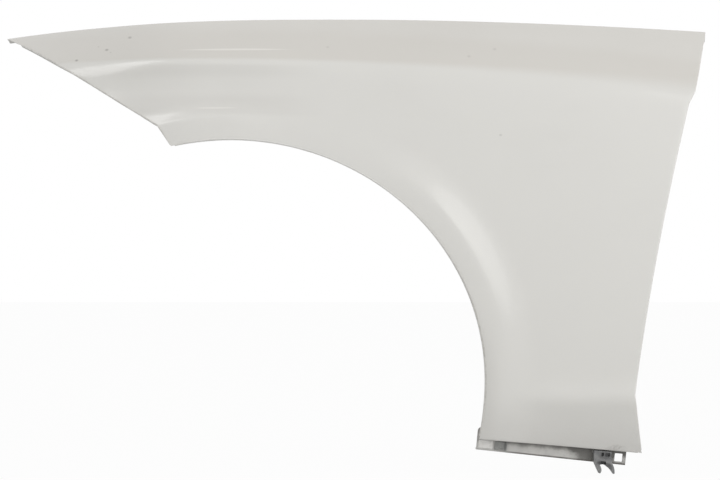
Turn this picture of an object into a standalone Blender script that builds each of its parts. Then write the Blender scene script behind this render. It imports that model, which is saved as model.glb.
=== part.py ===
"""Left front fender of a car: a pressed steel skin with its turned flanges, a welded lower
bracket, the plug nut in that bracket and the forked clip that holds the sill trim.

Blender 4.5, metres, +Z up, +X to the rear of the car and -Y out of its left side. The origin is
on the underside of the bonnet ledge, level with the middle of the wheel arch.

The panel is drawn as its designer would draw it: x is measured back from the middle of the
wheel arch, h is the height above that middle, and depth is how far a point lies inboard of the
widest place on the skin. place() turns these into the part's own frame.
"""
import math

import bmesh
import bpy
import numpy as np
from mathutils import Vector

for old in list(bpy.data.objects):
    bpy.data.objects.remove(old, do_unlink=True)

# Sheet and bends
SKIN_SHEET = 0.0008
BRACKET_SHEET = 0.0012
BEND_RADIUS = 0.0018
BRACKET_BEND = 0.0025
SEAT_GAP = 0.0003
CUT_OVERRUN = 0.006

# Wheel arch: half an ellipse, which straightens below its middle
ARCH_HALF_LENGTH = 0.3582
ARCH_HALF_HEIGHT = 0.3397
ARCH_LOWER_HALF_HEIGHT = 0.3720
ARCH_FRONT_AHEAD = 0.0838
ARCH_FOOT_DROP = 0.0817
ARCH_LIP = 0.019

# Heights, each given by the step up from a lower one
BUMPER_TOP_ABOVE_ARCH = 0.0205
BUMPER_TOP_HEIGHT = ARCH_HALF_HEIGHT + BUMPER_TOP_ABOVE_ARCH
NOTCH_ABOVE_ARCH = 0.0523
NOTCH_HEIGHT = ARCH_HALF_HEIGHT + NOTCH_ABOVE_ARCH
SHOULDER_ABOVE_ARCH = 0.1149
SHOULDER_HEIGHT = ARCH_HALF_HEIGHT + SHOULDER_ABOVE_ARCH
BAND_HEIGHT = 0.0629
TOP_HEIGHT = SHOULDER_HEIGHT + BAND_HEIGHT
LEDGE_BELOW_TOP = 0.0290
LEDGE_HEIGHT = TOP_HEIGHT - LEDGE_BELOW_TOP

# Lengths ahead of the arch's middle, each given by the step from a nearer one
BUMPER_TOP_AHEAD_OF_ARCH = 0.0205
BUMPER_TOP_AHEAD = ARCH_FRONT_AHEAD + BUMPER_TOP_AHEAD_OF_ARCH
HEADLIGHT_LENGTH = 0.2435
TIP_AHEAD = BUMPER_TOP_AHEAD + HEADLIGHT_LENGTH

# Lengths behind it: the leg between arch and door, then the slope of the door edge
LEG_LENGTH = 0.2128
WAIST_BACK = ARCH_HALF_LENGTH + LEG_LENGTH
FOOT_BEHIND_WAIST = 0.0131
FOOT_REAR_BACK = WAIST_BACK + FOOT_BEHIND_WAIST
NOTCH_BEHIND_WAIST = 0.0790
NOTCH_BACK = WAIST_BACK + NOTCH_BEHIND_WAIST
SHOULDER_BEHIND_NOTCH = 0.0100
SHOULDER_REAR_BACK = NOTCH_BACK + SHOULDER_BEHIND_NOTCH
TOP_BEHIND_SHOULDER = 0.0275
REAR_TOP_BACK = SHOULDER_REAR_BACK + TOP_BEHIND_SHOULDER

# How the bonnet edge, the shoulder line, the headlight edge and the door edge bend
TOP_CROWN_BACK = 0.200
TIP_FALL = 0.0163
REAR_TOP_FALL = 0.0144
SHOULDER_CROWN_AHEAD = 0.100
SHOULDER_FRONT_AHEAD = 0.2387
SHOULDER_FRONT_FALL = 0.0043
SHOULDER_REAR_FALL = 0.0440
HEADLIGHT_BOW = 0.0060
WAIST_DROP = 0.020
FOOT_REAR_DROP = 0.1050
DOOR_SLOPE_SHARE = 0.67

# Crown of the skin
PLAN_START_BACK = 0.050
PLAN_FRONT_RADIUS = 0.65
PLAN_REAR_RADIUS = 6.0
BARREL_HEIGHT = 0.130
BARREL_RADIUS = 2.6

# Upper band, which leans in towards the bonnet
BAND_LEAN_FRONT_DEG = 52.0
BAND_LEAN_REAR_DEG = 37.0
BAND_CROWN_RADIUS = 0.50
SHOULDER_SOFT_FRONT = 0.0035
SHOULDER_SOFT_REAR = 0.018
SHOULDER_SOFT_RUN_SHARE = 0.87
SHOULDER_SOFTER_AT_TIP = 0.0065
ROLL_SLOPE_SHARE = 0.55
ROLL_HEIGHT = 0.013
ROLL_FADE_START_AHEAD = 0.215
ROLL_FADE_END_AHEAD = 0.080
HOLLOW_DEPTH = 0.0050
HOLLOW_DROP = 0.040
HOLLOW_SPREAD = 0.030
HOLLOW_FADE_START_AHEAD = 0.160
HOLLOW_FADE_END_BACK = 0.220

# Flare round the arch: a border that stands proud, and the hollow fillet outside it
BORDER_FRONT = 0.034
BORDER_FOOT = 0.035
FLARE_BASE = 0.0020
FLARE_FRONT = 0.0060
FLARE_REAR = 0.0120
FILLET_FRONT = 0.024
FILLET_REAR = 0.046
FLARE_SOFT = 0.0025
FLARE_FOOT_SOFT = 0.024
FLARE_FOOT_SHARE = 0.34
LIP_ROLL = 0.0030
LIP_ROLL_FRONT_SHARE = 0.30

# Angles round the arch, in degrees up from straight back, between which the flare changes
BORDER_WIDENS_DEG = (45.0, 5.0)
FRONT_CREASE_DEG = (76.0, 92.0)
REAR_CREASE_DEG = (64.0, 38.0)
FOOT_SOFTENS_DEG = (44.0, -4.0)
FILLET_WIDENS_DEG = (80.0, 40.0)

# Sill flare at the foot
SILL_CREASE_BELOW_WAIST = 0.0065
SILL_SLOPE = 0.17
SILL_SOFT = 0.007
SILL_RADIUS = 0.38
SILL_LIFT = 0.0035
SILL_LIFT_HEIGHT = 0.020
SILL_START_BEHIND_ARCH = 0.0264
SILL_START_BACK = ARCH_HALF_LENGTH + SILL_START_BEHIND_ARCH
SILL_RUN_OUT = 0.0850
SILL_FRONT_SHARE = 0.60

# Turned flanges
LEDGE_WIDTH = 0.034
WALL_START_BEHIND_TIP = 0.0238
WALL_START_AHEAD = TIP_AHEAD - WALL_START_BEHIND_TIP
WALL_RUN_OUT = 0.0400
LEDGE_FRONT_AHEAD = WALL_START_AHEAD - WALL_RUN_OUT
LEDGE_RUN_OUT = 0.0700
WALL_TIP_HEIGHT = 0.0055
WALL_DRAFT = 0.0020
DOOR_FLANGE = 0.017
HEADLIGHT_FLANGE = 0.013
BUMPER_FLANGE = 0.018
SILL_FLANGE = 0.0130
FRONT_STRAIGHT_SHARE = 0.78

# Holes in the flanges
LEDGE_SLOT_RADIUS = 0.0045
LEDGE_SLOT_LENGTH = 0.015
LEDGE_SLOT_INSET = 0.018
FRONT_SLOT_BEHIND_TIP = 0.1218
REAR_SLOT_AHEAD_OF_END = 0.0959
REAR_SLOTS = 4
PAD_BESIDE_SLOT = 0.022
LIP_HOLE_RADIUS = 0.0038
LIP_HOLE_INSET = 0.011
LIP_HOLE_ANGLES_DEG = (94.0, 72.0, 50.0, 28.0, 7.0)
LIP_END_RUN = 0.060
LIP_END_SHARE = 0.50
DOOR_TAB_REACH = 0.030
DOOR_TAB_COLUMNS = (5, 15)
DOOR_TAB_HOLE_RADIUS = 0.0055
BUMPER_HOLE_SIDE = 0.009
BUMPER_HOLE_SHARE = 0.58

# Lower bracket, a Z section that hangs from the sill flange
BRACKET_FRONT_INSET = 0.0099
BRACKET_FRONT_BACK = ARCH_HALF_LENGTH - BRACKET_FRONT_INSET
BRACKET_REAR_INSET = 0.0205
BRACKET_REAR_BACK = FOOT_REAR_BACK - BRACKET_REAR_INSET
BRACKET_SETBACK = 0.0175
BRACKET_DROP_FRONT = 0.0165
BRACKET_DROP_REAR = 0.0206
BRACKET_FOOT = 0.020
BRACKET_TOP_LEG = 0.011
BRACKET_EAR_WIDTH = 0.028
BRACKET_EAR_RISE = 0.0145
BRACKET_EAR_CORNER = 0.0035
OPEN_HOLE_SIDE = 0.0115
OPEN_HOLE_FROM_REAR = 0.0108
OPEN_HOLE_DROP = 0.0102
FOOT_SLOT_RADIUS = 0.0037
FOOT_SLOT_LENGTH = 0.013
FOOT_SLOT_INSET = 0.011
FOOT_SLOT_SHARES = (0.20, 0.66)

# Plug nut
NUT_FROM_FRONT = 0.0350
NUT_DROP = 0.0082
NUT_HEAD_WIDTH = 0.0180
NUT_HEAD_HEIGHT = 0.0125
NUT_HEAD_THICK = 0.0026
NUT_BODY_SIDE = 0.0098
NUT_BODY_LENGTH = 0.0120
NUT_BORE_RADIUS = 0.0016
NUT_EDGE = 0.0007

# Sill trim clip
CLIP_FROM_REAR = 0.0303
CLIP_TOP_DROP = 0.0020
CLIP_WIDTH = 0.0290
CLIP_HEIGHT = 0.0325
CLIP_THICK = 0.0080
CLIP_SHANK_SIDE = 0.0080
CLIP_SHANK_DROP = 0.0085
CLIP_SHANK_LENGTH = 0.0085
CLIP_EDGE = 0.0006

# How finely the sheet is divided
TOP_COLUMNS = 44
SLOPE_COLUMNS = 20
NOTCH_COLUMNS = 2
FOOT_COLUMNS = 4
BEND_STEPS = 2


# Small helpers

def soft(value, radius):
    """A ramp that is zero below and rises with slope one above, rounded over the radius."""
    return (value + np.sqrt(value * value + radius * radius)) / 2


def ease(share):
    """A smooth step from 0 to 1, flat at both ends."""
    share = np.clip(share, 0.0, 1.0)
    return share * share * (3 - 2 * share)


def lerp(start, end, share):
    """A straight blend of two numbers, points or rows."""
    return start + (end - start) * share


def unit(rows):
    """The rows as unit vectors."""
    return rows / np.linalg.norm(rows, axis=-1, keepdims=True)


# The lines of the outline

def top_height(x):
    """Height of the bonnet edge: it falls away from its crown to the tip and to the door."""
    ahead = np.maximum(0, TOP_CROWN_BACK - x) / (TOP_CROWN_BACK + TIP_AHEAD)
    behind = np.maximum(0, x - TOP_CROWN_BACK) / (REAR_TOP_BACK - TOP_CROWN_BACK)
    return TOP_HEIGHT - TIP_FALL * ahead ** 2.5 - REAR_TOP_FALL * behind ** 1.7


def shoulder_height(x):
    """Height of the shoulder line: a low arc, highest just ahead of the arch's middle."""
    crown = -SHOULDER_CROWN_AHEAD
    ahead = np.maximum(0, crown - x) / (SHOULDER_FRONT_AHEAD - SHOULDER_CROWN_AHEAD)
    behind = np.maximum(0, x - crown) / (SHOULDER_REAR_BACK + SHOULDER_CROWN_AHEAD)
    return SHOULDER_HEIGHT - SHOULDER_FRONT_FALL * ahead ** 2 - SHOULDER_REAR_FALL * behind ** 1.9


def arch_point(angle):
    """Point of the arch at an angle, in radians up from straight back."""
    half_height = np.where(angle < 0, ARCH_LOWER_HALF_HEIGHT, ARCH_HALF_HEIGHT)
    return np.stack([ARCH_HALF_LENGTH * np.cos(angle), half_height * np.sin(angle)], axis=-1)


ARCH_FRONT_ANGLE = math.acos(-ARCH_FRONT_AHEAD / ARCH_HALF_LENGTH)
ARCH_FOOT_ANGLE = -math.asin(ARCH_FOOT_DROP / ARCH_LOWER_HALF_HEIGHT)
ARCH_WAIST_ANGLE = -math.asin(WAIST_DROP / ARCH_LOWER_HALF_HEIGHT)
ARCH_CORNER_ANGLE = math.radians(40.0)

TIP = np.array([-TIP_AHEAD, TOP_HEIGHT - TIP_FALL])
REAR_TOP = np.array([REAR_TOP_BACK, TOP_HEIGHT - REAR_TOP_FALL])
SHOULDER_REAR = np.array([SHOULDER_REAR_BACK, SHOULDER_HEIGHT - SHOULDER_REAR_FALL])
NOTCH = np.array([NOTCH_BACK, NOTCH_HEIGHT])
WAIST = np.array([WAIST_BACK, -WAIST_DROP])
FOOT_REAR = np.array([FOOT_REAR_BACK, -FOOT_REAR_DROP])
BUMPER_TOP = np.array([-BUMPER_TOP_AHEAD, BUMPER_TOP_HEIGHT])
ARCH_FRONT = arch_point(ARCH_FRONT_ANGLE)
ARCH_FOOT = arch_point(ARCH_FOOT_ANGLE)


def headlight_point(share):
    """Point of the headlight edge: a line from bumper to tip, bowed most towards the tip."""
    share = np.asarray(share, dtype=float)
    across = unit(np.array([TIP[1] - BUMPER_TOP[1], BUMPER_TOP[0] - TIP[0]]))
    bow = 4 * HEADLIGHT_BOW * share * share * (1 - share)
    return lerp(BUMPER_TOP, TIP, share[..., None]) + across * bow[..., None]


def door_slope_point(share):
    """Point of the door edge between notch and waist, share 0 at the notch."""
    up = 1 - np.asarray(share, dtype=float)
    back = WAIST[0] + (NOTCH[0] - WAIST[0]) * (DOOR_SLOPE_SHARE * up + (1 - DOOR_SLOPE_SHARE) * up * up)
    return np.stack([back, lerp(WAIST[1], NOTCH[1], up)], axis=-1)


def shoulder_start_share():
    """Where the shoulder line leaves the headlight edge, found by halving the interval."""
    low, high = 0.0, 1.0
    for _ in range(40):
        middle = (low + high) / 2
        x, h = headlight_point(middle)
        if h < shoulder_height(x):
            low = middle
        else:
            high = middle
    return low


SHOULDER_START = shoulder_start_share()


# The form of the skin

def arch_distance(x, h):
    """Distance outside the arch's ellipse, and the angle round it in degrees."""
    half_height = np.where(h < 0, ARCH_LOWER_HALF_HEIGHT, ARCH_HALF_HEIGHT)
    scale = np.sqrt((x / ARCH_HALF_LENGTH) ** 2 + (h / half_height) ** 2)
    angle = np.degrees(np.arctan2(h / half_height, x / ARCH_HALF_LENGTH))
    return np.hypot(x, h) * (1 - 1 / scale), angle


def between(angle, span_deg):
    """A smooth step from 0 at the first of two angles to 1 at the second."""
    start, end = span_deg
    return ease((angle - start) / (end - start))


def border_width(angle):
    """Width of the border: even over the front and top, a little wider towards the foot."""
    return lerp(BORDER_FRONT, BORDER_FOOT, between(angle, BORDER_WIDENS_DEG))


def flare(x, h):
    """How far the skin stands proud round the arch: a border, then a hollow fillet."""
    distance, angle = arch_distance(x, h)
    width = border_width(angle)
    front = between(angle, FRONT_CREASE_DEG)
    rear = between(angle, REAR_CREASE_DEG)
    foot = between(angle, FOOT_SOFTENS_DEG)
    proud = FLARE_BASE + FLARE_FRONT * front + FLARE_REAR * rear * lerp(1.0, FLARE_FOOT_SHARE, foot)
    fillet = lerp(FILLET_FRONT, FILLET_REAR, between(angle, FILLET_WIDENS_DEG))
    rounding = lerp(FLARE_SOFT, FLARE_FOOT_SOFT, np.maximum(foot, 1 - np.maximum(front, rear)))
    past = soft(distance - width, rounding)
    roll = LIP_ROLL * lerp(LIP_ROLL_FRONT_SHARE, 1.0, rear)
    rolled = roll * np.clip(1 - distance / width, 0, 1) ** 2
    return proud * np.clip(1 - past / fillet, 0, 1) ** 2 - rolled


def sill(x, h):
    """How far the foot of the skin tucks in below its crease, and lifts out just above it."""
    share = ease((x - SILL_START_BACK) / SILL_RUN_OUT)
    below = -WAIST_DROP - SILL_CREASE_BELOW_WAIST - h
    past = soft(below, lerp(2 * SILL_SOFT, SILL_SOFT, share))
    tuck = (SILL_SLOPE * past + past ** 2 / (2 * SILL_RADIUS)) * lerp(SILL_FRONT_SHARE, 1.0, share)
    lift = SILL_LIFT * share * np.exp(-(below / SILL_LIFT_HEIGHT) ** 2)
    return tuck - lift


def shoulder(x, h):
    """Depth added by the band above the shoulder line and by the roll and hollow below it."""
    length = TIP_AHEAD + REAR_TOP_BACK
    back = np.clip((x + TIP_AHEAD) / length, 0, 1)
    above = h - shoulder_height(x)
    rounding = lerp(SHOULDER_SOFT_FRONT, SHOULDER_SOFT_REAR, ease(back / SHOULDER_SOFT_RUN_SHARE))
    roll_fade = ease((-ROLL_FADE_END_AHEAD - x) / (ROLL_FADE_START_AHEAD - ROLL_FADE_END_AHEAD))
    rounding = rounding + SHOULDER_SOFTER_AT_TIP * roll_fade
    lean = np.tan(np.radians(lerp(BAND_LEAN_FRONT_DEG, BAND_LEAN_REAR_DEG, back)))
    band = lean * soft(above, rounding) + np.maximum(0, above) ** 2 / (2 * BAND_CROWN_RADIUS)
    below = soft(-above, rounding)
    roll = ROLL_SLOPE_SHARE * ROLL_HEIGHT * np.exp(-below / ROLL_HEIGHT) * roll_fade
    hollow_run = HOLLOW_FADE_END_BACK + HOLLOW_FADE_START_AHEAD
    hollow_fade = ease((HOLLOW_FADE_END_BACK - x) / hollow_run)
    hollow = HOLLOW_DEPTH * hollow_fade * np.exp(-((below - HOLLOW_DROP) / HOLLOW_SPREAD) ** 2)
    return band + roll + hollow


def skin_depth(x, h):
    """Depth of the outer face inboard of its widest place, at x and h."""
    ahead = np.maximum(0, PLAN_START_BACK - x)
    behind = np.maximum(0, x - PLAN_START_BACK)
    plan = ahead ** 2 / (2 * PLAN_FRONT_RADIUS) + behind ** 2 / (2 * PLAN_REAR_RADIUS)
    barrel = (h - BARREL_HEIGHT) ** 2 / (2 * BARREL_RADIUS)
    return plan + barrel + shoulder(x, h) - flare(x, h) + sill(x, h)


WALL_FOOT = 2 * BEND_RADIUS + WALL_DRAFT
PAD_DEPTH = float(skin_depth(0.0, top_height(0.0))) + WALL_FOOT + LEDGE_SLOT_INSET


def place(x, h, depth):
    """Points in the part's own frame, as rows of x, y, z."""
    x, h, depth = np.broadcast_arrays(x, h, depth)
    return np.stack([x, depth - PAD_DEPTH, h - LEDGE_HEIGHT], axis=-1)


def on_skin(points):
    """Outline points, rows of x and h, laid on the skin."""
    return place(points[..., 0], points[..., 1], skin_depth(points[..., 0], points[..., 1]))


def inward(points):
    """Unit vectors that point straight in from the skin at rows of x and h."""
    step = SKIN_SHEET
    x, h = points[..., 0], points[..., 1]
    along = (skin_depth(x + step, h) - skin_depth(x - step, h)) / (2 * step)
    up = (skin_depth(x, h + step) - skin_depth(x, h - step)) / (2 * step)
    return unit(np.stack([-along, np.ones_like(along), -up], axis=-1))


# The grid of the skin: a border and a side that fan round the arch, and the band above them

BORDER_TURN_FRONT_SHARE = 0.12
BORDER_TURN_FOOT_SHARE = 0.14
BORDER_SHARES = np.array([0.0, 0.10, 0.32, 0.62, 0.88, 1.0])
SIDE_SHARES = np.array([0.0, 0.05, 0.12, 0.21, 0.32, 0.45, 0.58, 0.70, 0.81, 0.90, 0.96, 1.0])
BAND_SHARES = np.array([0.0, 0.06, 0.18, 0.42, 0.74, 1.0])


def fan_curves():
    """The arch and the outer line that faces it, point for point."""
    top = np.linspace(0, 1, TOP_COLUMNS + 1)
    start = headlight_point(SHOULDER_START)[0]
    x = lerp(start, SHOULDER_REAR_BACK, top)
    outer = [np.stack([x, shoulder_height(x)], axis=-1)]
    notch = np.linspace(0, 1, NOTCH_COLUMNS + 1)[1:, None]
    outer.append(lerp(SHOULDER_REAR, NOTCH, notch))
    outer.append(door_slope_point(np.linspace(0, 1, SLOPE_COLUMNS + 1)[1:]))
    foot = np.linspace(0, 1, FOOT_COLUMNS + 1)[1:, None]
    outer.append(lerp(WAIST, FOOT_REAR, foot))
    slope_count = NOTCH_COLUMNS + SLOPE_COLUMNS
    angles = np.concatenate([
        np.linspace(ARCH_FRONT_ANGLE, ARCH_CORNER_ANGLE, TOP_COLUMNS + 1),
        np.linspace(ARCH_CORNER_ANGLE, ARCH_WAIST_ANGLE, slope_count + 1)[1:],
        np.linspace(ARCH_WAIST_ANGLE, ARCH_FOOT_ANGLE, FOOT_COLUMNS + 1)[1:]])
    return angles, arch_point(angles), np.concatenate(outer)


def border_line(angles, arch):
    """The crease line of the flare: square to the arch, and ending on the panel's two edges."""
    share = np.linspace(0, 1, len(angles))
    width = border_width(np.degrees(angles))
    offset = unit(arch) * width[:, None]
    foot_share = width[-1] / np.linalg.norm(FOOT_REAR - ARCH_FOOT)
    at_front = ease(1 - share / BORDER_TURN_FRONT_SHARE)[:, None]
    at_foot = ease(1 - (1 - share) / BORDER_TURN_FOOT_SHARE)[:, None]
    ends = (BUMPER_TOP - ARCH_FRONT) * at_front + (FOOT_REAR - ARCH_FOOT) * foot_share * at_foot
    return arch + offset * (1 - at_front - at_foot) + ends


def blended(low, high, left, right, shares):
    """A grid between four edges: the two long ones, and the two short ones at their ends."""
    across = np.linspace(0, 1, len(low))[None, :, None]
    up = shares[:, None, None]
    ruled = lerp(low[None], high[None], up)
    sides = lerp(left[:, None], right[:, None], across)
    corners = lerp(lerp(low[0], low[-1], across), lerp(high[0], high[-1], across), up)
    return ruled + sides - corners


def skin_grids():
    """The three grids of x and h: border, side and band."""
    angles, arch, outer = fan_curves()
    line = border_line(angles, arch)
    border = lerp(arch[None], line[None], BORDER_SHARES[:, None, None])
    front = headlight_point(SHOULDER_START * SIDE_SHARES)
    foot = lerp(line[-1], FOOT_REAR, SIDE_SHARES[:, None])
    side = blended(line, outer, front, foot, SIDE_SHARES)
    shoulder_line = outer[:TOP_COLUMNS + 1]
    x = lerp(-TIP_AHEAD, REAR_TOP_BACK, np.linspace(0, 1, TOP_COLUMNS + 1))
    top = np.stack([x, top_height(x)], axis=-1)
    front = headlight_point(lerp(SHOULDER_START, 1.0, BAND_SHARES))
    rear = lerp(SHOULDER_REAR, REAR_TOP, BAND_SHARES[:, None])
    band = blended(shoulder_line, top, front, rear, BAND_SHARES)
    return border, side, band


class Sheet:
    """A folded sheet under construction: rows of vertices, and strips of faces between them."""

    def __init__(self):
        self.bm = bmesh.new()

    def row(self, points):
        """A row of new vertices at the points."""
        return [self.bm.verts.new(point) for point in points]

    def strip(self, first, second):
        """Faces between two rows of the same length, the second above the first."""
        for a, b, c, d in zip(first, first[1:], second[1:], second):
            self.bm.faces.new((a, b, c, d))

    def grid(self, points, low=None):
        """A grid of faces; its lowest row may be one that is there already."""
        rows = [low] if low else [self.row(points[0])]
        for line in points[1:]:
            rows.append(self.row(line))
            self.strip(rows[-2], rows[-1])
        return rows


def flange_frame(edge, straight_share=1.0):
    """Directions at each point of an edge: along it, into the panel, and down the flange.

    edge holds x and h, taken anticlockwise round the panel as it is seen from outside. A
    flange runs straight in across the car, or with a lower share it turns towards the way
    that is square to the skin.
    """
    along = unit(np.gradient(on_skin(edge), axis=0))
    wall = unit(lerp(inward(edge), np.array([0.0, 1.0, 0.0]), straight_share))
    into = unit(np.cross(along, wall))
    return along, into, wall


def add_flange(sheet, row, edge, reach, straight_share=1.0):
    """Turn a flange in along a row of the outline, and give back its free edge.

    The skin stops one bend radius short of the outline, the bend is an arc of that radius, and
    the wall runs on to its reach from the outline.
    """
    into, wall = flange_frame(edge, straight_share)[1:]
    corner = on_skin(edge)
    centre = corner + BEND_RADIUS * (into + wall)
    rows = []
    for step in range(BEND_STEPS + 1):
        turn = step / BEND_STEPS * math.pi / 2
        rows.append(centre - BEND_RADIUS * (wall * math.cos(turn) + into * math.sin(turn)))
    rows.append(corner + wall * np.reshape(reach, (-1, 1)))
    for vert, point in zip(row, rows[0]):
        vert.co = point
    last = row
    for points in rows[1:]:
        fresh = sheet.row(points)
        sheet.strip(fresh, last)
        last = fresh
    return last


def add_ear(sheet, free_edge, first, last, reach):
    """Carry a flange's free edge on, straight in, between two of its points."""
    root = free_edge[first:last + 1]
    out = [vert.co + Vector((0.0, reach, 0.0)) for vert in root]
    sheet.strip(sheet.row(out), root)


def bonnet_frame(edge):
    """The bonnet edge's points in the part's frame, and the level way in from each."""
    top = on_skin(edge)
    along = np.gradient(top, axis=0)
    across = unit(np.stack([-along[:, 1], along[:, 0], np.zeros(len(top))], axis=-1))
    return top, across


def add_bonnet_edge(sheet, row, edge):
    """The wall that drops from the bonnet edge, and the level ledge at its foot."""
    x = edge[:, 0]
    top, across = bonnet_frame(edge)
    grown = ease((x + WALL_START_AHEAD) / WALL_RUN_OUT)
    full = ease((x + LEDGE_FRONT_AHEAD) / LEDGE_RUN_OUT)
    drop = lerp(WALL_TIP_HEIGHT, top[:, 2] - SKIN_SHEET, grown)
    width = lerp(BEND_RADIUS, LEDGE_WIDTH, full)

    def shifted(inboard, down):
        move = across * np.reshape(inboard, (-1, 1))
        move = move - np.array([0.0, 0.0, 1.0]) * np.reshape(down, (-1, 1))
        return top + move

    rounded = BEND_RADIUS * (1 - math.sqrt(0.5))
    rows = [
        shifted(BEND_RADIUS - rounded, rounded),
        shifted(BEND_RADIUS, BEND_RADIUS),
        shifted(BEND_RADIUS + WALL_DRAFT, drop - BEND_RADIUS),
        shifted(BEND_RADIUS + WALL_DRAFT + rounded, drop - rounded),
        shifted(WALL_FOOT, drop),
        shifted(WALL_FOOT + width, drop)]
    last = row
    for points in rows:
        fresh = sheet.row(points)
        sheet.strip(last, fresh)
        last = fresh


# Holes, each cut by a prism

def circle(radius, steps=16):
    """Outline of a round hole."""
    turns = np.arange(steps) * 2 * math.pi / steps
    return radius * np.stack([np.cos(turns), np.sin(turns)], axis=-1)


def slot(radius, length, steps=8):
    """Outline of a slot with round ends, long in its first direction."""
    turns = np.linspace(-math.pi / 2, math.pi / 2, steps + 1)
    end = radius * np.stack([np.cos(turns), np.sin(turns)], axis=-1)
    shift = np.array([length / 2 - radius, 0.0])
    return np.concatenate([end + shift, -end - shift])


def square(side, height=None):
    """Outline of a square or oblong hole."""
    half = np.array([side, height or side]) / 2
    return np.array([[-1, -1], [1, -1], [1, 1], [-1, 1]]) * half


def add_prism(bm, outline, centre, first, second, reach=CUT_OVERRUN, back=None):
    """A closed prism over an outline in the plane of two directions, through the centre."""
    first = unit(np.asarray(first, dtype=float))
    second = np.asarray(second, dtype=float)
    second = unit(second - first * np.dot(first, second))
    through = np.cross(first, second)
    flat = centre + outline[:, :1] * first + outline[:, 1:] * second
    low = [bm.verts.new(point) for point in flat - through * (reach if back is None else back)]
    high = [bm.verts.new(point) for point in flat + through * reach]
    bm.faces.new(low[::-1])
    bm.faces.new(high)
    for a, b, c, d in zip(low, low[1:] + low[:1], high[1:] + high[:1], high):
        bm.faces.new((a, b, c, d))


def new_object(bm, name):
    """An object of a finished bmesh, linked to the scene."""
    mesh = bpy.data.meshes.new(name)
    bm.to_mesh(mesh)
    bm.free()
    thing = bpy.data.objects.new(name, mesh)
    bpy.context.scene.collection.objects.link(thing)
    return thing


def cut(thing, bm, name):
    """Cut an object with the solids of a bmesh."""
    cutter = new_object(bm, name)
    cutter.hide_render = True
    cutter.display_type = "WIRE"
    boolean = thing.modifiers.new("holes", "BOOLEAN")
    boolean.operation = "DIFFERENCE"
    boolean.solver = "EXACT"
    boolean.object = cutter


def thicken(thing, sheet):
    """Give a folded sheet its thickness, behind the face it was drawn on."""
    solid = thing.modifiers.new("sheet", "SOLIDIFY")
    solid.thickness = sheet
    solid.offset = -1.0
    solid.use_even_offset = True
    solid.use_quality_normals = True


def round_edges(thing, width, segments=2):
    """Round the sharp edges of a moulded piece."""
    bevel = thing.modifiers.new("edges", "BEVEL")
    bevel.width = width
    bevel.segments = segments
    bevel.limit_method = "ANGLE"
    bevel.angle_limit = math.radians(40.0)


def finish(thing, colour, roughness, metallic=0.0, smooth_deg=30.0):
    """Give a piece its own material and smooth shading."""
    material = bpy.data.materials.new(thing.name + "_finish")
    material.use_nodes = True
    shader = material.node_tree.nodes["Principled BSDF"]
    shader.inputs["Base Color"].default_value = (*colour, 1.0)
    shader.inputs["Roughness"].default_value = roughness
    shader.inputs["Metallic"].default_value = metallic
    thing.data.materials.append(material)
    thing.data.shade_smooth()
    thing.data.set_sharp_from_angle(angle=math.radians(smooth_deg))


# The panel

def ledge_slots(bm):
    """The bonnet ledge's bolt slots: one near the tip, the rest from the pad to the door."""
    front = FRONT_SLOT_BEHIND_TIP - TIP_AHEAD
    rear = REAR_TOP_BACK - REAR_SLOT_AHEAD_OF_END
    for x in [front, *np.linspace(-PAD_BESIDE_SLOT, rear, REAR_SLOTS)]:
        near = x + np.array([-1.0, 0.0, 1.0]) * LEDGE_SLOT_RADIUS
        top, across = bonnet_frame(np.stack([near, top_height(near)], axis=-1))
        centre = top[1] + across[1] * (WALL_FOOT + LEDGE_SLOT_INSET)
        centre[2] = 0.0
        along = np.array([across[1][1], -across[1][0], 0.0])
        add_prism(bm, slot(LEDGE_SLOT_RADIUS, LEDGE_SLOT_LENGTH), centre, along, across[1])


def lip_holes(bm):
    """The holes of the wheel liner's fixings, square to the arch lip."""
    for angle in LIP_HOLE_ANGLES_DEG:
        near = math.radians(angle) - np.array([-1.0, 0.0, 1.0]) * LIP_HOLE_RADIUS / ARCH_HALF_LENGTH
        edge = arch_point(near)
        along, into, wall = flange_frame(edge)
        centre = on_skin(edge)[1] + wall[1] * LIP_HOLE_INSET
        add_prism(bm, circle(LIP_HOLE_RADIUS, 12), centre, along[1], wall[1])


def door_tab_holes(bm, rear_edge):
    """The bolt hole of each ear on the door flange."""
    along, into, wall = flange_frame(rear_edge)
    for column in DOOR_TAB_COLUMNS:
        centre = on_skin(rear_edge)[column] + wall[column] * (DOOR_FLANGE + DOOR_TAB_REACH / 2)
        add_prism(bm, circle(DOOR_TAB_HOLE_RADIUS), centre, along[column], wall[column])


def bumper_hole(bm):
    """The square hole for the bumper's clip, halfway down the bumper edge."""
    middle = (BUMPER_TOP + ARCH_FRONT) / 2
    half = unit(ARCH_FRONT - BUMPER_TOP) * BUMPER_HOLE_SIDE / 2
    edge = np.stack([middle - half, middle, middle + half])
    along, into, wall = flange_frame(edge, FRONT_STRAIGHT_SHARE)
    centre = on_skin(edge)[1] + wall[1] * BUMPER_FLANGE * BUMPER_HOLE_SHARE
    add_prism(bm, square(BUMPER_HOLE_SIDE), centre, along[1], wall[1])


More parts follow.
